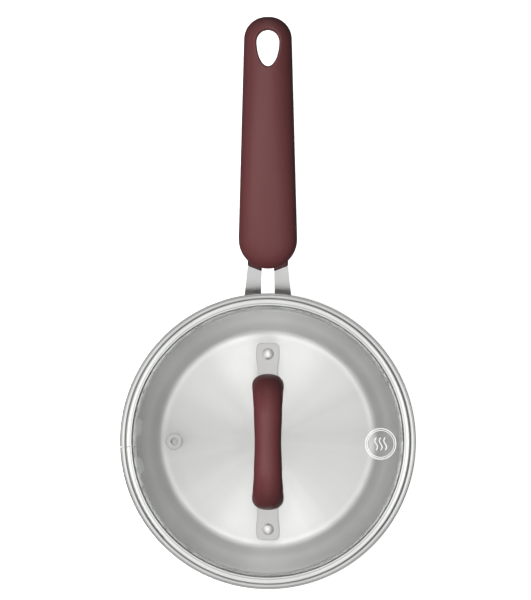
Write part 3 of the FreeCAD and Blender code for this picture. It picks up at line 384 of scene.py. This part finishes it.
def turned_steel(name, colour, roughness, anisotropy, line, depth, painted_light=(), duller=(), turn=0.25):
    """Steel brushed in circles round the Z axis, with fine lines about that far apart, and random fans
    of painted sheen round the axis in its colour. Painted light and duller are (radius, share) pairs:
    the share of the colour, which paints rings of light and shade, and of the roughness. The turn is
    the shader's own: 0.25 stretches highlights outwards from the axis and 0 stretches them round it."""
    m = Shading(name)
    apart = m.node("SeparateXYZ", {0: m.place()})
    x, y, z = apart.outputs
    flat = m.node("CombineXYZ", {0: x, 1: y}).outputs[0]
    radius = m.node("VectorMath", {0: flat}, operation="LENGTH").outputs["Value"]
    across = m.math("ADD", radius, m.math("MULTIPLY", x, LINE_DRIFT))
    along = m.math("ADD", z, m.math("MULTIPLY", y, LINE_DRIFT))
    lines = m.node("CombineXYZ", {0: across, 1: along}).outputs[0]
    fine = m.noise(lines, 1 / line, detail=3.0, roughness=0.6)
    broad = m.noise(lines, BROAD_LINES / line, detail=3.0, roughness=0.6)
    towards = m.node("VectorMath", {0: flat}, operation="NORMALIZE").outputs[0]
    # Random fans of lighter and darker colour round the axis: painted sheen.
    painted_sheen_fans = m.noise(towards, FAN_SCALE, detail=3.0, roughness=0.55)
    tone = m.weigh(broad, BROAD_SHARE, m.ease(painted_sheen_fans, *FAN_EDGES))
    shown = m.blend_colours(tone, shaded(colour, TURNED_DARK), colour)
    # Rings of painted light and shade, darker or lighter by radius.
    if painted_light:
        shown = m.blend_colours(m.ramp(radius, painted_light), grey(0.0), shown)
    rough = m.around(m.weigh(broad, 0.5, fine), roughness, TURNED_SWING)
    if duller:
        rough = m.math("MULTIPLY", rough, m.ramp(radius, duller))
    m.surface(
        Base__Color=shown,
        Metallic=1.0,
        Roughness=rough,
        Anisotropic=anisotropy,
        Anisotropic__Rotation=turn,
        Tangent=m.node("Tangent", direction_type="RADIAL", axis="Z").outputs[0],
        Normal=m.bump(fine, depth),
    )
    return m.material


def sheet_steel(name, colour, roughness):
    """Steel brushed along Y, with faint handling marks."""
    m = Shading(name)
    place = m.place()
    stretched = m.node("Mapping", {"Vector": place, "Scale": SHEET_STRETCH}).outputs[0]
    lines = m.noise(stretched, 1.0, detail=3.0, roughness=0.6)
    patch = m.noise(place, SHEET_PATCHES, detail=3.0)
    m.surface(
        Base__Color=m.blend_colours(patch, shaded(colour, SHEET_DARK), colour),
        Metallic=1.0,
        Roughness=m.around(m.weigh(lines, SHEET_LINE_SHARE, patch), roughness, SHEET_SWING),
        Anisotropic=0.5,
        Tangent=m.node("CombineXYZ", {0: 1.0}).outputs[0],
        Normal=m.bump(lines, distance=0.00001),
    )
    return m.material


def soft_touch(name, colour, roughness, grain, depth):
    """Moulded burgundy plastic or silicone with a fine matt grain and slight rubbed patches."""
    m = Shading(name)
    place = m.place()
    pits = m.noise(place, 1 / grain, detail=3.0, roughness=0.6)
    cloud = m.noise(place, CLOUD_SCALE, detail=4.0, roughness=0.55)
    m.surface(
        Base__Color=m.blend_colours(cloud, shaded(colour, SOFT_DARK), shaded(colour, SOFT_LIGHT)),
        Roughness=m.around(m.weigh(pits, GRAIN_SHARE, cloud), roughness, SOFT_SWING),
        Specular__IOR__Level=0.38,
        Normal=m.bump(pits, depth, strength=0.6),
    )
    return m.material


def clear_glass(name):
    """Tempered glass: what is behind it shows through with a faint tint, and its surface
    reflects more the flatter it is looked at."""
    m = Shading(name)
    smear = m.noise(m.place(), 35.0, detail=4.0)
    rough = m.spread(smear, *GLASS_ROUGHNESS)
    gloss = m.node("BsdfGlossy", {"Color": grey(1.0), "Roughness": rough})
    through = m.node("BsdfTransparent", {"Color": GLASS_TINT})
    facing = m.node("LayerWeight", {"Blend": 0.5}).outputs["Facing"]
    share = m.spread(m.math("POWER", facing, GLASS_POWER), *GLASS_REFLECTS)
    m.show(m.blend_shaders(share, through, gloss))
    return m.material


def soft_silicone(name):
    """Milky clear silicone."""
    m = Shading(name)
    cloud = m.noise(m.place(), 300.0, detail=3.0)
    m.surface(
        Base__Color=m.blend_colours(cloud, grey(0.4), grey(0.52)),
        Roughness=m.spread(cloud, low=0.38, high=0.5),
        Subsurface__Weight=0.25,
        Subsurface__Radius=(0.002, 0.002, 0.002),
    )
    return m.material


def printed_white(name):
    """Fired white print, slightly uneven, that also glows a little: painted light that keeps it bright."""
    m = Shading(name)
    speck = m.noise(m.place(), 2500.0)
    m.surface(
        Base__Color=m.blend_colours(speck, grey(0.78), grey(0.9)),
        Roughness=m.spread(speck, low=0.45, high=0.6),
        # The print glows though it is no lamp: painted light.
        Emission__Color=grey(1.0),
        Emission__Strength=0.55,
    )
    return m.material


def make_materials():
    """The materials by name: those of the CAD's slots, and those that only this scene has."""
    return {
        "pan_steel": turned_steel(
            "pan_steel",
            colour=(0.8, 0.795, 0.785, 1),
            roughness=0.5,
            anisotropy=0.97,
            line=0.0004,
            depth=0.0000015,
            painted_light=PAN_PAINTED_LIGHT,
            duller=PAN_DULLER,
        ),
        "polished_steel": sheet_steel("polished_steel", colour=(0.52, 0.515, 0.51, 1), roughness=0.42),
        "rolled_steel": turned_steel(
            "rolled_steel",
            colour=(0.6, 0.606, 0.594, 1),
            roughness=0.34,
            anisotropy=0.7,
            line=0.0003,
            depth=0.000002,
            painted_light=BAND_PAINTED_LIGHT,
            turn=0.0,
        ),
        "print": printed_white("printed_white"),
        "base_aluminium": turned_steel(
            "base_aluminium",
            colour=(0.8, 0.8, 0.8, 1),
            roughness=0.4,
            anisotropy=0.6,
            line=0.0004,
            depth=0.000004,
        ),
        "burgundy_grip": soft_touch(
            "burgundy_grip", colour=(0.142, 0.035, 0.037, 1), roughness=0.4, grain=0.0004, depth=0.00004
        ),
        "burgundy_silicone": soft_touch(
            "burgundy_silicone", colour=(0.135, 0.029, 0.031, 1), roughness=0.4, grain=0.0003, depth=0.00003
        ),
        # The collars' darker burgundy is painted shade for the grip's shadow over them.
        "collar": soft_touch(
            "burgundy_collar_painted_shade", colour=(0.06, 0.015, 0.016, 1), roughness=0.45, grain=0.0004, depth=0.00004
        ),
        "bracket": sheet_steel("bracket_steel", colour=(0.68, 0.675, 0.67, 1), roughness=0.5),
        "eyelet": turned_steel(
            "eyelet_steel",
            colour=(0.56, 0.557, 0.55, 1),
            roughness=0.2,
            anisotropy=0.0,
            line=0.0003,
            depth=0.000001,
        ),
        "lid_glass": clear_glass("lid_glass"),
        "clear_silicone": soft_silicone("clear_silicone"),
        "fastener_steel": turned_steel(
            "fastener_steel",
            colour=(0.92, 0.915, 0.91, 1),
            roughness=0.48,
            anisotropy=0.0,
            line=0.0003,
            depth=0.000001,
        ),
    }


# ---------------------------------------------------------------------------------------------
# Shape helpers


def mix(first, second, share):
    return first + (second - first) * share


def smooth(share):
    share = min(max(share, 0.0), 1.0)
    return share * share * (3 - 2 * share)


def rounded_outline(corners):
    """The points of a closed outline whose (x, y, rounding) corners are rounded off."""
    points = []
    count = len(corners)
    for index, (x, y, rounding) in enumerate(corners):
        here = Vector((x, y))
        back = (Vector(corners[index - 1][:2]) - here).normalized()
        ahead = (Vector(corners[(index + 1) % count][:2]) - here).normalized()
        half = back.angle(ahead) / 2
        centre = here + (back + ahead).normalized() * (rounding / math.sin(half))
        entry = here + back * (rounding / math.tan(half)) - centre
        turn = math.pi - 2 * half
        sign = 1 if back.x * ahead.y - back.y * ahead.x < 0 else -1
        steps = math.ceil(turn / ARC_STEP)
        for step in range(steps + 1):
            angle = sign * turn * step / steps
            cosine, sine = math.cos(angle), math.sin(angle)
            spoke = Vector((entry.x * cosine - entry.y * sine, entry.x * sine + entry.y * cosine))
            points.append(centre + spoke)
    return points


def resampled(points, spacing):
    """The same closed outline with extra points along its long sides."""
    finer = []
    for index, point in enumerate(points):
        following = points[(index + 1) % len(points)]
        pieces = max(1, math.ceil((following - point).length / spacing))
        finer += [point.lerp(following, piece / pieces) for piece in range(pieces)]
    return finer


def offset_outline(points, distance):
    """An outline that runs anticlockwise, moved outwards by the distance."""
    count = len(points)
    moved = []
    for index, point in enumerate(points):
        along = (points[(index + 1) % count] - points[index - 1]).normalized()
        moved.append(point + Vector((along.y, -along.x)) * distance)
    return moved


def finish_mesh(name, mesh, material, body, replaced):
    """Shades the mesh, makes its object, hangs it on its body and hides the CAD parts it replaces."""
    mesh.validate()
    for polygon in mesh.polygons:
        polygon.use_smooth = True
    mesh.set_sharp_from_angle(angle=SHARP_ANGLE)
    mesh.materials.append(material)
    piece = bpy.data.objects.new(name, mesh)
    bpy.context.scene.collection.objects.link(piece)
    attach(piece, body)
    if replaced:
        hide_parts(*replaced)


def mesh_from(name, points, faces):
    """A mesh whose faces all look outwards and whose doubled points are joined."""
    mesh = bpy.data.meshes.new(name)
    mesh.from_pydata([tuple(point) for point in points], [], faces)
    work = bmesh.new()
    work.from_mesh(mesh)
    bmesh.ops.remove_doubles(work, verts=work.verts, dist=MERGE_DISTANCE)
    bmesh.ops.recalc_face_normals(work, faces=work.faces)
    work.to_mesh(mesh)
    work.free()
    return mesh


def lofted(name, rings):
    """Quads between rings that all have the same number of points, with capped ends."""
    size = len(rings[0])
    points = [point for ring in rings for point in ring]
    faces = []
    for index in range(len(rings) - 1):
        first, second = index * size, (index + 1) * size
        for step in range(size):
            after = (step + 1) % size
            faces.append((first + step, first + after, second + after, second + step))
    faces.append(tuple(range(size)))
    faces.append(tuple(range((len(rings) - 1) * size, len(rings) * size)))
    return mesh_from(name, points, faces)


def cut_away(mesh, cutter_points, cutter_faces):
    """The mesh less a closed cutter."""
    cutter = bpy.data.objects.new("cutter", mesh_from("cutter", cutter_points, cutter_faces))
    piece = bpy.data.objects.new("cut_piece", mesh)
    for thing in (cutter, piece):
        bpy.context.scene.collection.objects.link(thing)
    modifier = piece.modifiers.new("cut", "BOOLEAN")
    modifier.operation = "DIFFERENCE"
    modifier.solver = "EXACT"
    modifier.object = cutter
    seen = piece.evaluated_get(bpy.context.evaluated_depsgraph_get())
    result = bpy.data.meshes.new_from_object(seen)
    for thing in (cutter, piece):
        bpy.data.objects.remove(thing)
    return result


# ---------------------------------------------------------------------------------------------
# The handle's grip


def grip_outline():
    """The grip seen from above: a taper with nearly half-round ends."""
    near, far = GRIP_ROOT_HALF * GRIP_ROUNDNESS, GRIP_TIP_HALF * GRIP_ROUNDNESS
    corners = [
        (GRIP_ROOT_HALF, GRIP_START, near),
        (GRIP_TIP_HALF, GRIP_END, far),
        (-GRIP_TIP_HALF, GRIP_END, far),
        (-GRIP_ROOT_HALF, GRIP_START, near),
    ]
    return resampled(rounded_outline(corners), GRIP_OUTLINE_SPACING)


def eye_outline():
    """Two half ellipses: the eye is blunt at its far end and longer towards the pan."""
    points = []
    for step in range(EYE_STEPS):
        angle = 2 * math.pi * step / EYE_STEPS
        reach = EYE_FAR if math.sin(angle) > 0 else EYE_NEAR
        points.append(Vector((EYE_HALF_WIDTH * math.cos(angle), EYE_CENTRE + reach * math.sin(angle))))
    return points


def distances(points, outline):
    """How far each point is from a closed outline, and whether it lies inside it."""
    places = np.array([tuple(point) for point in points])
    starts = np.array([tuple(point) for point in outline])
    sides = np.roll(starts, -1, axis=0) - starts
    reach = places[:, None, :] - starts[None, :, :]
    share = np.clip((reach * sides).sum(2) / (sides * sides).sum(1), 0, 1)
    nearest = reach - share[:, :, None] * sides[None, :, :]
    distance = np.sqrt((nearest * nearest).sum(2).min(1))
    ends = starts + sides
    straddles = (starts[None, :, 1] > places[:, None, 1]) != (ends[None, :, 1] > places[:, None, 1])
    rise = np.where(sides[:, 1] == 0, 1.0, sides[:, 1])
    crossing = starts[:, 0] + (places[:, 1, None] - starts[:, 1]) * sides[:, 0] / rise
    inside = (straddles & (places[:, 0, None] < crossing)).sum(1) % 2 == 1
    return distance, inside


def grip_middle(y):
    """Height of the middle of the grip's thickness, which arches upwards along its length."""
    share = (y - GRIP_START) / (GRIP_END - GRIP_START)
    half = (GRIP_END - GRIP_START) / 2
    reach = (share - 0.5) * 2 * half
    sag = math.sqrt(GRIP_ARCH_RADIUS**2 - reach**2) - math.sqrt(GRIP_ARCH_RADIUS**2 - half**2)
    return mix(GRIP_ROOT_MIDDLE, GRIP_TIP_MIDDLE, share) + sag


def grip_rise(y, inset):
    """How far the grip's surface stands from its middle, at a distance in from its outline."""
    share = (y - GRIP_START) / (GRIP_END - GRIP_START)
    half = mix(GRIP_ROOT_HALF, GRIP_TIP_HALF, share)
    thick = mix(GRIP_ROOT_THICK, GRIP_TIP_THICK, share)
    power = mix(GRIP_ROOT_POWER, GRIP_TIP_POWER, smooth(share * GRIP_POWER_RATE))
    out = max(0.0, 1 - inset / half)
    return thick * (1 - out**power) ** (1 / power)


def grip_plan_points(outline, eye):
    """Points of the grip's upper surface in plan, with the lip's drop at each: rings inside the
    outline, rings round the eye, and a line of points down the middle."""
    widest = GRIP_TIP_HALF * GRIP_ROUNDNESS
    turns = [math.radians(degrees) for degrees in range(0, 90, GRIP_RING_DEGREES)]
    insets = [widest * (1 - math.cos(turn)) for turn in turns]
    eye_rings = []
    for step in range(EYE_LIP_STEPS + 1):
        angle = math.pi / 2 * step / EYE_LIP_STEPS
        reach = EYE_LIP * (1 - math.cos(angle))
        eye_rings.append((reach, EYE_LIP * (1 - math.sin(angle))))
    rings = [offset_outline(outline, -inset) for inset in insets]
    middle_places = np.arange(GRIP_START + widest, EYE_CENTRE - EYE_NEAR, GRIP_MIDDLE_SPACING)
    middle = [Vector((0, y)) for y in middle_places]
    candidates = [point for ring in rings[1:] for point in ring] + middle
    to_eye, in_eye = distances(candidates, eye)
    to_edge = distances(candidates, outline)[0]
    first_middle = len(candidates) - len(middle)
    kept = []
    for index, point in enumerate(candidates):
        near_rings = to_edge[index] < insets[-1] + GRIP_MIDDLE_CLEARANCE
        crowded = index >= first_middle and near_rings
        if to_eye[index] > EYE_CLEARANCE and not in_eye[index] and not crowded:
            kept.append((point, 0.0))
    points = [(point, 0.0) for point in rings[0]]
    points += [(point, drop) for reach, drop in eye_rings for point in offset_outline(eye, reach)]
    return points + kept


def recess_cutter():
    """A drum that reaches from below the grip to just under its middle, at the screw."""
    steps = RECESS_STEPS
    middle = grip_middle(SCREW_Y)
    points = []
    for height in (middle - 2 * GRIP_ROOT_THICK, middle - GRIP_ROOT_THICK / 3):
        for step in range(steps):
            angle = 2 * math.pi * step / steps
            x, y = SCREW_RECESS * math.cos(angle), SCREW_Y + SCREW_RECESS * math.sin(angle)
            points.append((x, y, height))
    faces = [(i, (i + 1) % steps, steps + (i + 1) % steps, steps + i) for i in range(steps)]
    faces += [tuple(range(steps)), tuple(range(steps, 2 * steps))]
    return points, faces


def section(half_width, half_height, power, steps):
    """A closed superellipse as (across, up) pairs."""
    pairs = []
    for step in range(steps):
        angle = 2 * math.pi * step / steps
        cosine, sine = math.cos(angle), math.sin(angle)
        across = half_width * math.copysign(abs(cosine) ** (2 / power), cosine)
        up = half_height * math.copysign(abs(sine) ** (2 / power), sine)
        pairs.append((across, up))
    return pairs


def end_insets(rounding, steps):
    """(distance along, inset) pairs that round off an end."""
    angles = [math.pi / 2 * step / steps for step in range(steps)]
    return [(rounding * (1 - math.cos(angle)), rounding * (1 - math.sin(angle))) for angle in angles]


def make_collar(name, side, materials):
    """The moulded collar where a prong of the bracket enters the grip. It wears a darker burgundy:
    painted shade for the grip's shadow over it.
    """
    half = (COLLAR_OUTER - COLLAR_INNER) / 2
    centre = (COLLAR_OUTER + COLLAR_INNER) / 2
    start = (COLLAR_INNER_START + COLLAR_OUTER_START) / 2
    slant = (COLLAR_OUTER_START - COLLAR_INNER_START) / (2 * half)
    stations = end_insets(COLLAR_ROUNDING, COLLAR_ROUNDING_STEPS)
    stations += [(along, 0.0) for along in (COLLAR_ROUNDING, COLLAR_LENGTH / 2, COLLAR_LENGTH)]
    rings = []
    for along, inset in stations:
        ring = []
        width, height = half - inset, COLLAR_HALF_HEIGHT - inset
        for across, up in section(width, height, COLLAR_POWER, COLLAR_STEPS):
            y = start + slant * across + along
            ring.append((side * (centre + across), y, grip_middle(y) + up))
        rings.append(ring)
    finish_mesh(name, lofted(name, rings), materials["collar"], "pan", [])


def make_grip(materials):
    """The moulded grip: a surface over its outline in plan, the same one turned over below it,
    and the wall of the eye between them."""
    outline, eye = grip_outline(), eye_outline()
    plan = grip_plan_points(outline, eye)
    flat = [point for point, drop in plan]
    drops = [drop for point, drop in plan]
    edges = [(i, (i + 1) % len(outline)) for i in range(len(outline))]
    first_eye = len(outline)
    edges += [(first_eye + i, first_eye + (i + 1) % len(eye)) for i in range(len(eye))]
    division = delaunay_2d_cdt(flat, edges, [], TRIANGLES_INSIDE, TRIANGLE_PRECISION)
    found, _, triangles, origins, _, _ = division
    insets = distances(found, outline)[0]
    centres = [sum((found[i] for i in face), Vector((0, 0))) / len(face) for face in triangles]
    in_eye = distances(centres, eye)[1]
    upper = [face for face, hole in zip(triangles, in_eye) if not hole]
    top, bottom = [], []
    for index, point in enumerate(found):
        middle = grip_middle(point.y)
        drop = drops[origins[index][0]] if origins[index] else 0.0
        rise = max(0.0, grip_rise(point.y, insets[index]) - drop)
        top.append((point.x, point.y, middle + rise))
        bottom.append((point.x, point.y, middle - rise))
    count = len(found)
    faces = [tuple(face) for face in upper]
    faces += [tuple(count + i for i in reversed(face)) for face in upper]
    where = {origin: index for index, group in enumerate(origins) for origin in group}
    for i in range(len(eye)):
        here, after = where[first_eye + i], where[first_eye + (i + 1) % len(eye)]
        faces.append((here, after, count + after, count + here))
    mesh = cut_away(mesh_from("grip_shell", top + bottom, faces), *recess_cutter())
    plastic = materials["burgundy_grip"]
    finish_mesh("grip_shell", mesh, plastic, "pan", ["handle_grip"])


# ---------------------------------------------------------------------------------------------
# The lid's sleeve and printed mark


def sleeve_place(along):
    """A point (y, height) of the strap's middle line at a length from the lid's middle, and the
    direction its upper side faces there as an angle from straight up."""
    bend_length = BEND_RADIUS * BEND_TURN
    if along <= BEND_CENTRE:
        return along, STRAP_HEIGHT, 0.0
    turn = min((along - BEND_CENTRE) / BEND_RADIUS, BEND_TURN)
    y = BEND_CENTRE + BEND_RADIUS * math.sin(turn)
    z = STRAP_HEIGHT - BEND_RADIUS * (1 - math.cos(turn))
    rest = max(0.0, along - BEND_CENTRE - bend_length)
    return y + rest * math.cos(turn), z - rest * math.sin(turn), turn


def sleeve_size(share):
    """Half width and half thickness at a share of the half length, eased between stations."""
    for first, second in zip(SLEEVE_STATIONS, SLEEVE_STATIONS[1:]):
        if share <= second[0]:
            ease = smooth((share - first[0]) / (second[0] - first[0]))
            return mix(first[1], second[1], ease), mix(first[2], second[2], ease)
    return SLEEVE_STATIONS[-1][1:]


def make_sleeve(materials):
    """The silicone sleeve over the strap: rings of points along one half, and their mirror
    image."""
    bend_end = BEND_CENTRE + BEND_RADIUS * BEND_TURN
    fallen = BEND_RADIUS * (1 - math.cos(BEND_TURN))
    length = bend_end + (STRAP_HEIGHT - fallen - SLEEVE_END_HEIGHT) / math.sin(BEND_TURN)
    plain = length - SLEEVE_END_ROUNDING
    stations = [(step / SLEEVE_LENGTH_STEPS * plain, 0.0) for step in range(SLEEVE_LENGTH_STEPS)]
    end = end_insets(SLEEVE_END_ROUNDING, SLEEVE_END_STEPS)
    stations += [(length - along, inset) for along, inset in reversed(end)]
    half = []
    for along, inset in stations:
        y, z, turn = sleeve_place(along)
        width, thickness = sleeve_size(along / length)
        outline = section(width - inset, thickness - inset, SLEEVE_POWER, SLEEVE_RING_STEPS)
        ring = []
        for across, up in outline:
            ring.append((across, y + up * math.sin(turn), LID_SEAT + z + up * math.cos(turn)))
        half.append(ring)
    mirrored = [[(x, -y, z) for x, y, z in ring] for ring in reversed(half[1:])]
    mesh = lofted("lid_sleeve_skin", mirrored + half)
    silicone = materials["burgundy_silicone"]
    finish_mesh("lid_sleeve_skin", mesh, silicone, "lid", ["lid_sleeve"])


def glass_surface(x, y):
    """Height of the glass's upper face."""
    fall = DOME_ARC - math.sqrt(DOME_ARC**2 - x**2 - y**2)
    return LID_SEAT + GLASS_EDGE_TOP + DOME_RISE - fall


def printed_line(path, width, closed):
    """Rings of four points along a path on the glass: a thin raised ribbon."""
    count = len(path)
    rings = []
    for index, point in enumerate(path):
        following = path[(index + 1) % count] if closed or index + 1 < count else point
        previous = path[index - 1] if closed or index else point
        along = (following - previous).normalized()
        across = Vector((along.y, -along.x)) * (width / 2)
        ring = []
        for side, lift in ((-1, 0), (1, 0), (1, MARK_THICKNESS), (-1, MARK_THICKNESS)):
            spot = point + across * side
            ring.append((spot.x, spot.y, glass_surface(spot.x, spot.y) + lift))
        rings.append(ring)
    return rings


def circle_path(radius):
    path = []
    for step in range(MARK_CIRCLE_STEPS):
        angle = 2 * math.pi * step / MARK_CIRCLE_STEPS
        path.append(MARK_CENTRE + Vector((math.cos(angle), math.sin(angle))) * radius)
    return path


def wave_path(offset):
    path = []
    for step in range(MARK_WAVE_STEPS + 1):
        share = step / MARK_WAVE_STEPS
        sway = MARK_WAVE_SWAY * math.sin(2 * math.pi * share)
        rise = mix(-MARK_WAVE_REACH, MARK_WAVE_REACH, share)
        path.append(MARK_CENTRE + Vector((offset + sway, rise)))
    return path


def make_mark(materials):
    """A plain white printed sign: two circles round three wavy lines of steam."""
    lines = []
    for radius, width in MARK_CIRCLES:
        path = circle_path(MARK_RADIUS * radius)
        lines.append((printed_line(path, MARK_LINE * width, True), True))
    for offset in MARK_WAVES:
        lines.append((printed_line(wave_path(offset), MARK_LINE, False), False))
    points, faces = [], []
    for rings, closed in lines:
        base, count = len(points), len(rings)
        points += [point for ring in rings for point in ring]
        for index in range(count if closed else count - 1):
            first, second = base + 4 * index, base + 4 * ((index + 1) % count)
            for side in range(4):
                after = (side + 1) % 4
                faces.append((first + side, first + after, second + after, second + side))
        if not closed:
            for end in (base, base + 4 * (count - 1)):
                faces.append((end, end + 1, end + 2, end + 3))
    mesh = mesh_from("lid_mark", points, faces)
    finish_mesh("lid_mark", mesh, materials["print"], "lid", [])


def soften(node, width):
    """Rounds the sharp edges of a CAD part for the eye, by modifiers."""
    part = frame["nodes"][node]
    weld = part.modifiers.new("weld", "WELD")
    weld.merge_threshold = SOFTEN_WELD
    flat = part.modifiers.new("flat", "DECIMATE")
    flat.decimate_type = "DISSOLVE"
    flat.angle_limit = SOFTEN_FLAT
    bevel = part.modifiers.new("bevel", "BEVEL")
    bevel.width = width
    bevel.segments = SOFTEN_SEGMENTS
    bevel.limit_method = "ANGLE"
    bevel.angle_limit = SOFTEN_ANGLE
    bevel.harden_normals = True


# ---------------------------------------------------------------------------------------------
# Studio


def make_camera():
    rim = boxes["lid_rim_band"][1].z
    data = bpy.data.cameras.new("camera")
    data.sensor_width = SENSOR_MM
    data.lens = SENSOR_MM * CAMERA_DISTANCE / VIEW_HEIGHT
    data.shift_y = CAMERA_SHIFT
    data.clip_end = 3 * CAMERA_DISTANCE
    camera = bpy.data.objects.new("camera", data)
    y = VIEW_CENTRE.y - CAMERA_SHIFT * VIEW_HEIGHT
    camera.location = (VIEW_CENTRE.x, y, rim + CAMERA_DISTANCE)
    bpy.context.scene.collection.objects.link(camera)
    bpy.context.scene.camera = camera


def make_world():
    """A plain white backdrop for the camera. What the steel mirrors instead is a grey room that
    is lighter overhead, with a soft bright oval above the pan that is longer along Y."""
    world = bpy.data.worlds.new("studio")
    world.use_nodes = True
    room = Nodes(world.node_tree)
    direction = room.node("SeparateXYZ", {0: room.node("TexCoord").outputs["Generated"]})
    x, y, z = direction.outputs
    spans = [room.math("DIVIDE", value, span) for value, span in zip((x, y), OVAL_SPAN)]
    squares = [room.math("MULTIPLY", span, span) for span in spans]
    away = room.math("MULTIPLY", room.math("ADD", *squares), -1.0)
    oval = room.math("MULTIPLY", room.math("EXPONENT", away), room.ease(z, *OVAL_RISE))
    base = room.spread(room.ease(z, *OVERHEAD_RISE), ROOM_LIGHT, OVERHEAD_LIGHT)
    lean = room.math("ADD", room.math("MULTIPLY", x, -LIGHT_LEAN), 1.0)
    leaning = room.math("MULTIPLY", base, lean)
    level = room.math("ADD", leaning, room.math("MULTIPLY", oval, OVAL_LIGHT))
    lit = room.tree.nodes["Background"]
    room.feed(lit.inputs["Color"], grey(1.0))
    room.feed(lit.inputs["Strength"], level)
    backdrop = room.node("Background", {"Color": grey(1.0)})
    for_camera = room.node("LightPath").outputs["Is Camera Ray"]
    mixed = room.blend_shaders(for_camera, lit, backdrop)
    room.feed(room.tree.nodes["World Output"].inputs["Surface"], mixed.outputs[0])
    world.cycles_visibility.diffuse = False
    bpy.context.scene.world = world


def make_lamp(name, place, aim, size, power):
    """A soft round lamp that lights plastic, silicone and the floor. The steel mirrors the room
    alone."""
    data = bpy.data.lights.new(name, "AREA")
    data.shape = "DISK"
    data.size = size
    data.energy = power
    lamp = bpy.data.objects.new(name, data)
    lamp.location = place
    lamp.rotation_euler = (Vector(aim) - Vector(place)).to_track_quat("-Z", "Y").to_euler()
    lamp.visible_camera = False
    lamp.visible_glossy = False
    lamp.visible_transmission = False
    bpy.context.scene.collection.objects.link(lamp)


def make_floor():
    """A pale floor, bright enough to be as white as the backdrop where nothing shades it. It
    gives the pan less light than it shows the camera, and from below it isn't seen."""
    m = Shading("studio_floor")
    paper = m.noise(m.place(), 40.0)
    lit = m.node("BsdfDiffuse", {"Color": m.blend_colours(paper, grey(0.78), grey(0.8))})
    glow = m.node("Emission", {"Color": grey(1.0), "Strength": FLOOR_GLOW})
    bright = m.node("AddShader", {0: lit.outputs[0], 1: glow.outputs[0]})
    dim = m.node("Emission", {"Color": grey(1.0), "Strength": FLOOR_BOUNCE})
    for_camera = m.node("LightPath").outputs["Is Camera Ray"]
    above = m.blend_shaders(for_camera, dim, bright)
    below = m.node("BsdfTransparent")
    m.show(m.blend_shaders(m.node("NewGeometry").outputs["Backfacing"], above, below))
    half = FLOOR_SIZE / 2
    corners = [(-half, -half, 0), (half, -half, 0), (half, half, 0), (-half, half, 0)]
    mesh = bpy.data.meshes.new("studio_floor")
    mesh.from_pydata(corners, [], [(0, 1, 2, 3)])
    mesh.materials.append(m.material)
    floor = bpy.data.objects.new("studio_floor", mesh)
    floor.location.z = boxes["base_cap"][0].z - FLOOR_GAP
    bpy.context.scene.collection.objects.link(floor)


# ---------------------------------------------------------------------------------------------
# The whole scene

bpy.context.scene.view_settings.view_transform = "Standard"

make_camera()
make_world()
make_lamp("key_lamp", *KEY_LAMP)
make_lamp("fill_lamp", *FILL_LAMP)
make_floor()
materials = make_materials()
for subpart in frame["record"]["subparts"]:
    name = OWN_MATERIALS.get(subpart["node"], subpart["material_slot"])
    frame["nodes"][subpart["node"]].material_slots[0].material = materials[name]

make_grip(materials)
make_collar("grip_collar_left", -1, materials)
make_collar("grip_collar_right", 1, materials)
make_sleeve(materials)
make_mark(materials)
for node, width in SOFTENED.items():
    soften(node, width)
